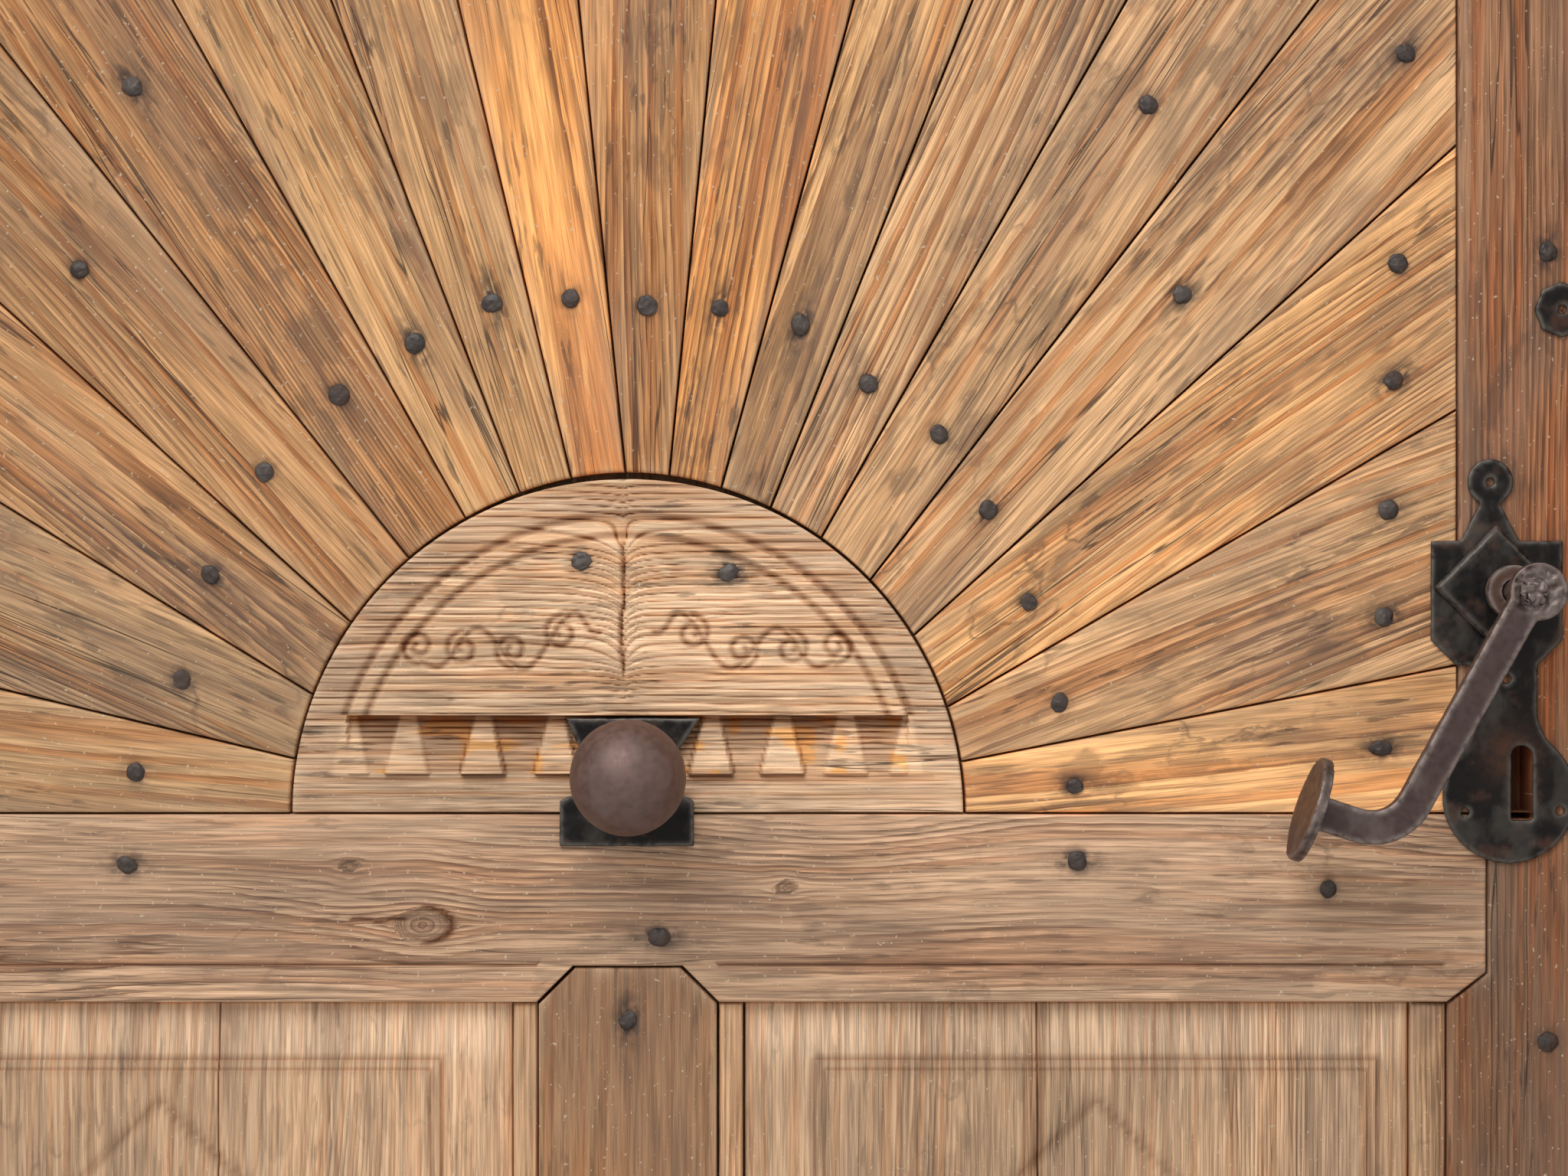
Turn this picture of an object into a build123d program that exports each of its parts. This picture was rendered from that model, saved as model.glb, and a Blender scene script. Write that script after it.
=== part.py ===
from build123d import *
from math import asin, copysign, cos, hypot, pi, radians, sin, sqrt
import os

# Arched house door: a doubled timber leaf hung in a rebated timber frame.
# X runs to the right as seen from outside, Y runs inwards, Z runs up.
# The origin is the bottom centre of the threshold. Sizes are in millimetres.

# Leaf: an outer layer of shaped boards nailed to a layer of upright planks
LEAF_WIDTH = 1050.0
SPRINGING_Z = 1480.0  # height where the half-round head starts
FACE_THICKNESS = 25.0
PLANK_THICKNESS = 28.0
PLANK_COUNT = 3
JOINT_GAP = 1.2  # shrinkage gap between boards
LEAF_FLOOR_GAP = 5.0
LEAF_PROUD = 1.0  # leaf's inner face beyond the frame's inner face

# Frame timbers
FRAME_FACE = 100.0  # width of jambs and head seen from outside
FRAME_DEPTH = 120.0
FRAME_CHAMFER = 12.0
REBATE_OVERLAP = 15.0
REBATE_SIDE_GAP = 3.0
REBATE_STOP_GAP = 1.5
TENON_THICKNESS = 30.0
TENON_WIDTH = 56.0
TENON_LENGTH = 50.0
TENON_INSET = 33.0  # frame's outer face to the tenon's middle
PEG_RADIUS = 7.0
PEG_SPACING = 28.0
PEG_PROUD = 2.5
PEG_DEPTH = 62.0
FIXING_HOLE_RADIUS = 5.0
FIXING_HOLE_INSET = 35.0  # frame's outer face to the hole's middle
FIXING_LOW_Z = 420.0
FIXING_SPACING = 840.0

# Threshold
THRESHOLD_HEIGHT = 45.0
THRESHOLD_DEPTH = 160.0
LIP_HEIGHT = 13.0  # raised outer part that the leaf closes against
LIP_TOP_WIDTH = 16.0
LIP_FALL = 9.0
FOOT_TENON_LENGTH = 22.0

# Sunburst
BASE_LINE_Z = 960.0  # underside of the sun, top of the mid rail
STILE_WIDTH = 104.0
HUB_RADIUS = 170.0
HUB_GAP = 1.5
# Joints between the rays, right to left: angle on the hub, heading of the joint
RAY_JOINTS = (
    (9.0, 11.0), (18.5, 30.3), (32.0, 42.1), (44.0, 52.3),
    (55.0, 60.4), (65.0, 68.3), (74.0, 74.8), (83.0, 84.4),
    (90.3, 95.7), (99.5, 103.4), (108.5, 111.0), (118.7, 119.5),
    (130.5, 128.5), (145.3, 137.7), (159.2, 148.5), (170.5, 166.7),
)

# Hub carving
FIELD_RADIUS = 150.5
FIELD_PROUD = 3.0
FIELD_GROOVE_INSET = 8.0
FIELD_GROOVE_WIDTH = 2.5
FIELD_GROOVE_DEPTH = 1.6
LEDGE_HEIGHT = 50.4  # above the base line
DROP_FOOT_HEIGHT = 21.0
RECESS_DEPTH = 6.0
DROP_PROUD = 3.2
DROP_TOP_WIDTH = 8.0
DROP_FOOT_WIDTH = 22.0
DROP_CENTRES = (-142.0, -111.7, -73.3, -36.1, 42.3, 78.4, 110.6, 143.9)

# Mid rail, muntin and bottom rail
RAIL_HEIGHT = 95.0
RAIL_HOUSING = 14.0  # rail end let into the stile
RAIL_CHAMFER_X = 20.0
RAIL_CHAMFER_Z = 15.0
MUNTIN_WIDTH = 90.0
NOTCH_DEPTH = 18.4
NOTCH_CHAMFER = 18.4
LOWER_STILE_WIDTH = 110.0
BOTTOM_RAIL_HEIGHT = 140.0

# Lower panels
INNER_STRIP_WIDTH = 12.0
OUTER_STRIP_WIDTH = 17.0
STRIP_DROP = 4.0
PANEL_EDGE_DROP = 9.0
PANEL_BEVEL_RISE = 3.0
PANEL_FIELD_DROP = 3.0
PANEL_STEP_WIDTH = 5.0
PANEL_INNER_BORDER = 36.0
PANEL_OUTER_BORDER = 17.0
PANEL_END_BORDER = 29.0
LOZENGE_INSET = 12.0
LOZENGE_GROOVE_WIDTH = 4.0
LOZENGE_GROOVE_DEPTH = 2.0

# Wrought nails: square shank drawn to a point, low four-sided head
NAIL_HEAD_WIDTH = 9.6
NAIL_TOP_WIDTH = 5.0
NAIL_HEAD_HEIGHT = 2.0
NAIL_SHANK = 3.8
NAIL_LENGTH = 40.0
# One nail near the hub in each ray, right to left: share of the ray's width, distance beyond the hub
INNER_RAY_NAILS = (
    (0.39, 57.8), (0.42, 57.6), (0.48, 62.3), (0.46, 70.9), (0.4, 80.4), (0.43, 81.0),
    (0.54, 93.7), (0.59, 91.8), (0.5, 88.9), (0.47, 94.0), (0.46, 98.8), (0.51, 93.0),
    (0.51, 89.2), (0.53, 84.9), (0.55, 76.3), (0.53, 68.0), (0.54, 81.2),
)
MIDDLE_RAY_NAILS = {4: 218.0, 5: 278.0, 13: 278.0, 14: 224.0}  # ray number, distance beyond the hub
PAIRED_END_RAYS = (2, 3, 15, 16)  # wide rays with two nails at their outer ends
PAIRED_END_SHARES = (0.3, 0.76)
END_NAIL_INSET = 40.0
HUB_NAILS = ((-23.3, 128.4), (51.2, 122.6))  # x, height above the base line
RAIL_NAILS = ((-253.8, 25.4), (227.7, 23.4), (354.9, 37.7), (16.0, 62.0), (-352.0, 60.0))
STILE_NAIL_INSET = 59.0
STILE_NAIL_HEIGHTS = (120.0, 330.0, 620.0, 845.0, 1245.0, 1440.0)
ARCH_NAIL_ANGLES = (18.0, 42.0, 66.0, 84.0)
MUNTIN_NAIL_HEIGHTS = (130.0, 260.0, 560.0, 856.0)
BOTTOM_NAIL_INSETS = (85.0, 295.0)  # from the rail's ends
BOTTOM_NAIL_RISE = 65.0

# Ball knob
KNOB_X = 2.0
KNOB_HEIGHT = 21.0  # above the base line
BALL_RADIUS = 29.0
BALL_SIDES = 24  # flats round the ball
BALL_RINGS = 9  # rings of flats from its front to the neck
KNOB_NECK_RADIUS = 10.0
KNOB_NECK_LENGTH = 6.0
KNOB_SHANK_RADIUS = 6.0
SHANK_CLEARANCE = 0.3
KNOB_PLATE_THICKNESS = 3.0
KNOB_PLATE_TOP = (-31.5, 37.5)  # left and right corner
KNOB_PLATE_FOOT = (-34.5, 34.0)
KNOB_PLATE_WAIST_HALF = 21.0
KNOB_PLATE_WAIST_TOP = 24.0  # below the plate's top
KNOB_PLATE_WAIST_FOOT = 36.0
KNOB_PLATE_SHOULDER = 42.0
KNOB_PLATE_HEIGHT = 65.5
KNOB_PLATE_GAP = 1.0  # under the ledge
WASHER_SIDE = 38.0
WASHER_THICKNESS = 3.0
NUT_SIDE = 22.0
NUT_THICKNESS = 10.0
SHANK_END_LENGTH = 4.0

# Spindle and the plates round it: X from the spindle, heights above the base line
SPINDLE_BACKSET = 79.0  # leaf's closing edge to the spindle
SPINDLE_HEIGHT = 113.0
PLATE_THICKNESS = 2.5
PLATE_DISC = (-9.5, 168.4)
PLATE_DISC_RADIUS = 11.8
PLATE_NECK_WIDTH = 11.6
PLATE_NECK_FLARE = 30.0  # width where the neck meets the square
PLATE_SQUARE_LEFT = -39.8
PLATE_SQUARE_RIGHT = 27.4
PLATE_SQUARE_TOP = 138.9
PLATE_SQUARE_BOTTOM = 75.3
PLATE_CORNER_CUT = 13.0
PLATE_WAIST_LEFT = -18.8
PLATE_WAIST_RIGHT = 14.6
PLATE_ROUND = (0.2, 9.3)
PLATE_ROUND_RADIUS = 34.1
PLATE_FLARE_RADIUS = 26.0
PLATE_HOLES = ((-1.0, 68.7), (-22.3, 1.2), (26.0, 2.0))
PLATE_HOLE_RADIUS = 2.0
KEYHOLE_OFFSET = 6.4
KEYHOLE_TOP = 29.5  # centre of the round part
KEYHOLE_RADIUS = 5.4
KEYHOLE_SLOT_WIDTH = 10.4
KEYHOLE_BOTTOM = -2.3
BOSS_CENTRE = (-7.0, 115.2)
BOSS_HALF_DIAGONAL = 32.0
BOSS_THICKNESS = 4.0
BOSS_CHAMFER = 2.0
COLLAR_RADIUS = 13.6
COLLAR_LENGTH = 8.0
SMALL_PLATE_CENTRE = (27.0, 255.7)
SMALL_PLATE_RADIUS = 14.5

# Spindle, lever and inner lever
SPINDLE_RADIUS = 6.0
SPINDLE_SQUARE = 8.0
SPINDLE_SHOULDER_DEPTH = 3.0  # round part ends this far inside the leaf
RUNNING_GAP = 0.05
WOOD_HOLE_GAP = 1.5
LEVER_STANDOFF = 44.0  # leaf face to the lever's near side
LEVER_THICKNESS = 8.0
LEVER_WIDTH = 17.2
LEVER_BEND = (-67.3, -120.7)  # bend and end, from the spindle
LEVER_END = (-106.0, -107.8)
LEVER_BEND_RADIUS = 24.0
LEVER_EYE_RADIUS = 14.5
LEVER_EYE_OFFSET = 3.0
LEVER_DISC_RADIUS = 26.5
LEVER_DISC_THICKNESS = 6.0
PEEN_RADIUS = 8.5
PEEN_HEIGHT = 4.5
PEEN_CHAMFER = 3.0
INNER_LEVER_LENGTH = 112.0
INNER_LEVER_HEADING = 202.0
INNER_LEVER_WIDTH = 15.0
INNER_LEVER_EYE = 13.0
INNER_LEVER_GAP = 3.0
FOLLOWER_RADIUS = 10.0
FOLLOWER_THICKNESS = 8.0
FOLLOWER_ARM = 22.0
FOLLOWER_ARM_WIDTH = 7.0
FOLLOWER_TAIL = 26.0
SPRING_HEIGHT = 20.0
SPRING_LENGTH = 24.0
SPRING_THICKNESS = 1.2
SPRING_BEND_RADIUS = 3.0
SPRING_GAP = 0.2
SPRING_SHELF = 2.0
SPRING_SHELF_LEFT = 40.0
SPRING_SHELF_RIGHT = 12.0

# Lock on the inside, from the spindle
CASE_LEFT = 61.0
CASE_UP = 52.0
CASE_DOWN = 138.0
CASE_DEPTH = 22.0
CASE_EDGE_GAP = 1.0
CASE_WALL = 2.0
CASE_EAR = 16.0
CASE_EAR_HEIGHT = 18.0
BOLT_THICKNESS = 12.0
BOLT_OFFSET = 4.0  # leaf's inner face to the bolts
BOLT_SLOT_GAP = 0.3
LATCH_UNDERSIDE = 24.3
LATCH_HEIGHT = 16.0
LATCH_TAIL = 34.0
LATCH_PROUD = 12.0
LATCH_LUG_WIDTH = 8.0
LATCH_LUG_DROP = 10.0
LATCH_LUG_GAP = 0.8
LATCH_NOSE = 9.0
DEAD_BOLT_TOP = -55.0
DEAD_BOLT_HEIGHT = 24.0
DEAD_BOLT_TAIL = 28.0
TALON_WIDTH = 14.0
TALON_DEPTH = 5.0
KEEPER_WALL = 3.0
KEEPER_GAP = 2.0  # beyond the rebate's edge
KEEPER_REACH = 34.0
KEEPER_MARGIN = 9.0
KEEPER_FLANGE = 20.0

# Strap hinges and pintles
STRAP_HEIGHTS = (330.0, 1385.0)
STRAP_LENGTH = 760.0
STRAP_WIDTH = 46.0
STRAP_TIP_WIDTH = 30.0
STRAP_POINT = 36.0
STRAP_THICKNESS = 5.0
STRAP_NAIL_PITCH = 150.0
STRAP_NAIL_FIRST = 64.0
PIN_RADIUS = 7.0
HINGE_OFFSET = 24.0  # hinge pin beyond the leaf's edge
PIN_TOP = 4.0
PINTLE_SHOULDER_SIDE = 22.0
PINTLE_SHOULDER = 4.0
PINTLE_BAR = 15.0
PINTLE_SPIKE = 62.0
PINTLE_SPIKE_TIP = 6.0
SHOULDER_GAP = 0.2

# Places worked out from the sizes above
LEAF_HALF = LEAF_WIDTH / 2
OPENING_HALF = LEAF_HALF - REBATE_OVERLAP
REBATE_HALF = LEAF_HALF + REBATE_SIDE_GAP
FRAME_HALF = OPENING_HALF + FRAME_FACE
JAMB_MIDDLE_X = OPENING_HALF + FRAME_FACE / 2
FRAME_FRONT_Y = -FRAME_DEPTH / 2
FRAME_BACK_Y = FRAME_DEPTH / 2
TENON_CENTRE_Y = FRAME_FRONT_Y + TENON_INSET
FIXING_HOLE_Y = FRAME_FRONT_Y + FIXING_HOLE_INSET
LEAF_BACK_Y = FRAME_BACK_Y + LEAF_PROUD
LAYER_Y = LEAF_BACK_Y - PLANK_THICKNESS
FACE_Y = LAYER_Y - FACE_THICKNESS
STOP_Y = FACE_Y - REBATE_STOP_GAP
FIELD_Y = FACE_Y - FIELD_PROUD
LEAF_BOTTOM_Z = THRESHOLD_HEIGHT + LEAF_FLOOR_GAP
SUN_HALF = LEAF_HALF - STILE_WIDTH
SUN_JOINTS = ((0.0, 0.0),) + RAY_JOINTS + ((180.0, 180.0),)
RAY_REACH = 2 * (LEAF_HALF + SPRINGING_Z - BASE_LINE_Z)  # beyond everything
PANEL_HALF = LEAF_HALF - LOWER_STILE_WIDTH
RAIL_HALF = SUN_HALF + RAIL_HOUSING
RAIL_BOTTOM_Z = BASE_LINE_Z - RAIL_HEIGHT
BOTTOM_RAIL_Z = LEAF_BOTTOM_Z + BOTTOM_RAIL_HEIGHT
LEDGE_Z = BASE_LINE_Z + LEDGE_HEIGHT
DROP_FOOT_Z = BASE_LINE_Z + DROP_FOOT_HEIGHT
LEDGE_HALF = sqrt(FIELD_RADIUS**2 - LEDGE_HEIGHT**2)
KNOB_Z = BASE_LINE_Z + KNOB_HEIGHT
PLATE_Y = FACE_Y - PLATE_THICKNESS
BOSS_Y = PLATE_Y - BOSS_THICKNESS
COLLAR_Y = BOSS_Y - COLLAR_LENGTH
LEVER_BACK_Y = FACE_Y - LEVER_STANDOFF
LEVER_FRONT_Y = LEVER_BACK_Y - LEVER_THICKNESS
SPINDLE_X = LEAF_HALF - SPINDLE_BACKSET
SPINDLE_Z = BASE_LINE_Z + SPINDLE_HEIGHT
KEYHOLE_X = SPINDLE_X + KEYHOLE_OFFSET
CASE_FRONT_Y = LEAF_BACK_Y + CASE_DEPTH
CASE_RIGHT_X = LEAF_HALF - CASE_EDGE_GAP
BOLT_Y = LEAF_BACK_Y + BOLT_OFFSET
FOLLOWER_Y = BOLT_Y + (BOLT_THICKNESS - FOLLOWER_THICKNESS) / 2
INNER_LEVER_Y = CASE_FRONT_Y + INNER_LEVER_GAP
PIN_X = -(LEAF_HALF + HINGE_OFFSET)
STRAP_FRONT_Y = LEAF_BACK_Y + STRAP_THICKNESS
PIN_Y = STRAP_FRONT_Y + PIN_RADIUS + RUNNING_GAP


def polygon(points):
    """Closed straight-sided outline from points in X and Z."""
    return make_face(Polyline(*points, close=True))


def block(x_low, x_high, z_low, z_high):
    """Rectangle between two heights and two places across."""
    size = Rectangle(x_high - x_low, z_high - z_low)
    return Pos((x_low + x_high) / 2, (z_low + z_high) / 2) * size


def board(outline, back, front):
    """Extrude an X and Z outline from its back plane to its front plane, both Y."""
    return extrude(Plane.XZ.offset(-back) * outline, amount=back - front)


def square_bar(x, z, side, back, front):
    """Square bar along Y."""
    return board(Pos(x, z) * Rectangle(side, side), back, front)


def mirrored(shape):
    """The same piece on the other side of the door's middle."""
    return mirror(shape, about=Plane.YZ)


def from_base(point):
    """A place given from the hub's centre, as X and Z."""
    return (point[0], BASE_LINE_Z + point[1])


def from_spindle(point):
    """A place given across from the spindle and up from the base line, as X and Z."""
    return (SPINDLE_X + point[0], BASE_LINE_Z + point[1])


def on_sun(angle, distance):
    """A place given by its angle and distance from the hub's centre."""
    return from_base((distance * cos(radians(angle)), distance * sin(radians(angle))))


def arched_outline(half_width, bottom):
    """Upright outline with a half-round top that starts at the springing."""
    upright = block(-half_width, half_width, bottom, SPRINGING_Z)
    return upright + Pos(0, SPRINGING_Z) * Circle(half_width)


def half_disc(radius, bottom):
    """Part of a disc about the hub's centre that lies above a height."""
    above = block(-radius, radius, bottom, BASE_LINE_Z + radius)
    return (Pos(0, BASE_LINE_Z) * Circle(radius)) & above


# Nails

def narrowing(width, end_width, length):
    """Square block along Y that narrows from one end to the other."""
    inset = (width - end_width) / 2
    return Wedge(width, length, width, inset, inset, width - inset, width - inset)


def nail(x, z, seat, inward=True):
    """Wrought nail whose head sits at a Y plane; inward nails are driven along Y."""
    head = Pos(0, -NAIL_HEAD_HEIGHT / 2, 0) * Rot(180, 0, 0) * narrowing(
        NAIL_HEAD_WIDTH, NAIL_TOP_WIDTH, NAIL_HEAD_HEIGHT)
    shank = Pos(0, NAIL_LENGTH / 2, 0) * narrowing(NAIL_SHANK, 0, NAIL_LENGTH)
    turn = 0 if inward else 180
    return Pos(x, seat, z) * Rot(turn, 0, 0) * (head + shank)


def joint_place(joint, distance):
    """A place on a joint between rays, at a distance beyond the hub, as X and Z."""
    start, heading = joint
    x, z = on_sun(start, HUB_RADIUS)
    return (x + distance * cos(radians(heading)), z + distance * sin(radians(heading)))


def in_ray(number, share, distance):
    """A place in a ray: share of its width from its lower joint, distance beyond the hub."""
    low, high = (joint_place(SUN_JOINTS[i], distance) for i in (number - 1, number))
    return tuple(a + share * (b - a) for a, b in zip(low, high))


def ray_length(number, share):
    """Distance from the hub to the stile or the arch, along a ray."""
    x, z = in_ray(number, share, 0)
    next_x, next_z = in_ray(number, share, 1)
    across, up = next_x - x, next_z - z
    to_stile = (copysign(SUN_HALF, across) - x) / across
    if z + to_stile * up < SPRINGING_Z:
        return to_stile
    rise = z - SPRINGING_Z
    speed, lean = across**2 + up**2, x * across + rise * up
    return (sqrt(lean**2 - speed * (x**2 + rise**2 - SUN_HALF**2)) - lean) / speed


def ray_nail_places():
    """Nails near the hub, further out, and at the outer ends of the rays."""
    places = []
    for number, (share, distance) in enumerate(INNER_RAY_NAILS, start=1):
        places.append(in_ray(number, share, distance))
        for end_share in PAIRED_END_SHARES if number in PAIRED_END_RAYS else (0.5,):
            end = ray_length(number, end_share) - END_NAIL_INSET
            places.append(in_ray(number, end_share, end))
    places += [in_ray(number, 0.5, distance) for number, distance in MIDDLE_RAY_NAILS.items()]
    return places


def flat_nail_places():
    """Nails whose heads sit on the leaf's outer face."""
    places = ray_nail_places()
    places += [from_base((x, -drop)) for x, drop in RAIL_NAILS]
    for side in (-1, 1):
        places += [(side * (LEAF_HALF - STILE_NAIL_INSET), z) for z in STILE_NAIL_HEIGHTS]
        middle = LEAF_HALF - STILE_WIDTH / 2
        for angle in ARCH_NAIL_ANGLES:
            turn = radians(angle)
            places.append((side * middle * cos(turn), SPRINGING_Z + middle * sin(turn)))
        for inset in BOTTOM_NAIL_INSETS:
            places.append((side * (PANEL_HALF - inset), LEAF_BOTTOM_Z + BOTTOM_NAIL_RISE))
    places += [(0.0, z) for z in MUNTIN_NAIL_HEIGHTS]
    return places


def wood_nails():
    """All nails that hold the outer layer."""
    nails = [nail(x, z, FACE_Y) for x, z in flat_nail_places()]
    nails += [nail(*from_base(place), FIELD_Y) for place in HUB_NAILS]
    return nails


# Boards of the leaf

def joint_points(joint, shift):
    """Near and far point of a joint between rays, shifted to the left of its heading."""
    heading = radians(joint[1])
    places = [joint_place(joint, distance) for distance in (-HUB_RADIUS / 4, RAY_REACH)]
    return [(x - shift * sin(heading), z + shift * cos(heading)) for x, z in places]


def sun_field():
    """Everything between the hub, the base line, the stiles and the arch."""
    field = arched_outline(SUN_HALF - JOINT_GAP, BASE_LINE_Z + JOINT_GAP)
    return field - Pos(0, BASE_LINE_Z) * Circle(HUB_RADIUS + HUB_GAP)


def ray(lower, upper):
    """Tapered board between two joints, fitted round the hub and cut off by stile or arch."""
    points = joint_points(lower, JOINT_GAP / 2) + joint_points(upper, -JOINT_GAP / 2)[::-1]
    return board(polygon(points) & sun_field(), LAYER_Y, FACE_Y)


def rays():
    """The rays from right to left."""
    return [ray(lower, upper) for lower, upper in zip(SUN_JOINTS, SUN_JOINTS[1:])]


def hub_drops():
    """Row of carved drops: trapezoids that widen and stand prouder towards their feet."""
    side = Plane.YZ.offset(-HUB_RADIUS) * polygon([
        (FACE_Y + RECESS_DEPTH + 1, LEDGE_Z),
        (FACE_Y, LEDGE_Z),
        (FACE_Y - DROP_PROUD, DROP_FOOT_Z),
        (FACE_Y + 1, DROP_FOOT_Z),
    ])
    row = extrude(side, amount=2 * HUB_RADIUS)
    drops = []
    for x in DROP_CENTRES:
        outline = polygon([
            (x - DROP_FOOT_WIDTH / 2, DROP_FOOT_Z - 1), (x + DROP_FOOT_WIDTH / 2, DROP_FOOT_Z - 1),
            (x + DROP_TOP_WIDTH / 2, LEDGE_Z + 1), (x - DROP_TOP_WIDTH / 2, LEDGE_Z + 1),
        ])
        drops.append(row & board(outline, LAYER_Y, FACE_Y - RECESS_DEPTH))
    return drops


def hub():
    """Half-round board with a raised field above a ledge and a row of drops under it."""
    solid = board(half_disc(HUB_RADIUS, BASE_LINE_Z + JOINT_GAP), LAYER_Y, FACE_Y)
    solid += board(half_disc(FIELD_RADIUS, LEDGE_Z), FACE_Y + 1, FIELD_Y)
    outer = half_disc(FIELD_RADIUS - FIELD_GROOVE_INSET, LEDGE_Z - 1)
    inner = half_disc(FIELD_RADIUS - FIELD_GROOVE_INSET - FIELD_GROOVE_WIDTH, LEDGE_Z - 2)
    solid -= board(outer - inner, FIELD_Y + FIELD_GROOVE_DEPTH, FIELD_Y - 1)
    recess = Plane.YZ.offset(-LEDGE_HALF) * polygon([
        (FACE_Y, DROP_FOOT_Z), (FACE_Y + RECESS_DEPTH, LEDGE_Z),
        (FACE_Y - 1, LEDGE_Z), (FACE_Y - 1, DROP_FOOT_Z),
    ])
    solid -= extrude(recess, amount=2 * LEDGE_HALF)
    for drop in hub_drops():
        solid += drop
    return solid


def rail_outline():
    """Mid rail: chamfered lower corners and a chamfered notch for the muntin's head."""
    notch_top = MUNTIN_WIDTH / 2 - NOTCH_CHAMFER
    notch_foot = MUNTIN_WIDTH / 2 + JOINT_GAP
    right = [
        (RAIL_HALF, BASE_LINE_Z), (RAIL_HALF, RAIL_BOTTOM_Z + RAIL_CHAMFER_Z),
        (RAIL_HALF - RAIL_CHAMFER_X, RAIL_BOTTOM_Z), (notch_foot, RAIL_BOTTOM_Z),
        (notch_top + JOINT_GAP, RAIL_BOTTOM_Z + NOTCH_DEPTH),
    ]
    return polygon(right + [(-x, z) for x, z in reversed(right)])


def muntin():
    """Upright between the panels, its head cut to fit the rail's notch."""
    half = MUNTIN_WIDTH / 2
    head = RAIL_BOTTOM_Z + NOTCH_DEPTH - JOINT_GAP
    right = [
        (half, BOTTOM_RAIL_Z + JOINT_GAP), (half, head - NOTCH_DEPTH),
        (half - NOTCH_CHAMFER, head),
    ]
    return board(polygon(right + [(-x, z) for x, z in reversed(right)]), LAYER_Y, FACE_Y)


def stile_right():
    """Right stile, housed for the rail's end."""
    upper = block(SUN_HALF, LEAF_HALF, RAIL_BOTTOM_Z, SPRINGING_Z - JOINT_GAP)
    lower = block(PANEL_HALF + JOINT_GAP, LEAF_HALF, LEAF_BOTTOM_Z, RAIL_BOTTOM_Z)
    housing = offset(rail_outline(), amount=JOINT_GAP, kind=Kind.INTERSECTION)
    return board(upper + lower - housing, LAYER_Y, FACE_Y)


def leaf_arch_right():
    """Right half of the curved boards at the leaf's head."""
    ring = Circle(LEAF_HALF) - Circle(SUN_HALF)
    quarter = block(JOINT_GAP / 2, LEAF_HALF, 0, LEAF_HALF)
    return board(Pos(0, SPRINGING_Z) * (ring & quarter), LAYER_Y, FACE_Y)


def bottom_rail():
    """Rail at the foot of the leaf."""
    outline = block(-PANEL_HALF, PANEL_HALF, LEAF_BOTTOM_Z, BOTTOM_RAIL_Z)
    return board(outline, LAYER_Y, FACE_Y)


def strip(left, right):
    """Narrow batten beside a panel."""
    outline = block(left, right, BOTTOM_RAIL_Z + JOINT_GAP, RAIL_BOTTOM_Z - JOINT_GAP)
    return board(outline, LAYER_Y, FACE_Y + STRIP_DROP)


def panel_edges():
    """Left and right edge of the right panel."""
    left = MUNTIN_WIDTH / 2 + INNER_STRIP_WIDTH + 2 * JOINT_GAP
    return left, PANEL_HALF - OUTER_STRIP_WIDTH - JOINT_GAP


def panel_strips():
    """Battens each side of both panels."""
    left, right = panel_edges()
    inner = strip(MUNTIN_WIDTH / 2 + JOINT_GAP, left - JOINT_GAP)
    outer = strip(right + JOINT_GAP, PANEL_HALF)
    return [inner, outer, mirrored(inner), mirrored(outer)]


def panel_right():
    """Raised and fielded panel: bevelled border, stepped moulding, lozenge-ended groove."""
    left, right = panel_edges()
    low, high = BOTTOM_RAIL_Z + JOINT_GAP, RAIL_BOTTOM_Z - JOINT_GAP
    edge_y = FACE_Y + PANEL_EDGE_DROP
    foot_y = edge_y - PANEL_BEVEL_RISE
    field_y = FACE_Y + PANEL_FIELD_DROP
    borders = (left + PANEL_INNER_BORDER, right - PANEL_OUTER_BORDER)
    ends = (low + PANEL_END_BORDER, high - PANEL_END_BORDER)
    slab = board(block(left, right, low, high), LAYER_Y, edge_y)
    edge = Plane.XZ.offset(-edge_y) * block(left, right, low, high)
    foot = Plane.XZ.offset(-foot_y) * block(*borders, *ends)
    slab += loft([edge, foot])
    step = (foot_y + field_y) / 2
    slab += board(block(*borders, *ends), edge_y, step)
    inner = block(borders[0] + PANEL_STEP_WIDTH, borders[1] - PANEL_STEP_WIDTH,
                  ends[0] + PANEL_STEP_WIDTH, ends[1] - PANEL_STEP_WIDTH)
    slab += board(inner, edge_y, field_y)
    groove = lozenge(borders, ends, 0) - lozenge(borders, ends, LOZENGE_GROOVE_WIDTH)
    return slab - board(groove, field_y + LOZENGE_GROOVE_DEPTH, field_y - 1)


def lozenge(borders, ends, inset):
    """Tall outline with 45-degree pointed ends inside a panel's field."""
    edge = PANEL_STEP_WIDTH + LOZENGE_INSET + inset
    left, right = borders[0] + edge, borders[1] - edge
    low, high = ends[0] + edge, ends[1] - edge
    middle, half = (left + right) / 2, (right - left) / 2
    return polygon([
        (left, low + half), (middle, low), (right, low + half),
        (right, high - half), (middle, high), (left, high - half),
    ])


def planks():
    """Upright planks of the inner layer, cut to the leaf's arched outline."""
    width = LEAF_WIDTH / PLANK_COUNT
    solids = []
    for i in range(PLANK_COUNT):
        left = -LEAF_HALF + i * width
        outline = block(left + JOINT_GAP / 2, left + width - JOINT_GAP / 2,
                        LEAF_BOTTOM_Z, SPRINGING_Z + LEAF_HALF)
        solids.append(board(outline & arched_outline(LEAF_HALF, LEAF_BOTTOM_Z), LEAF_BACK_Y, LAYER_Y))
    return solids


# Frame

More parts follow.
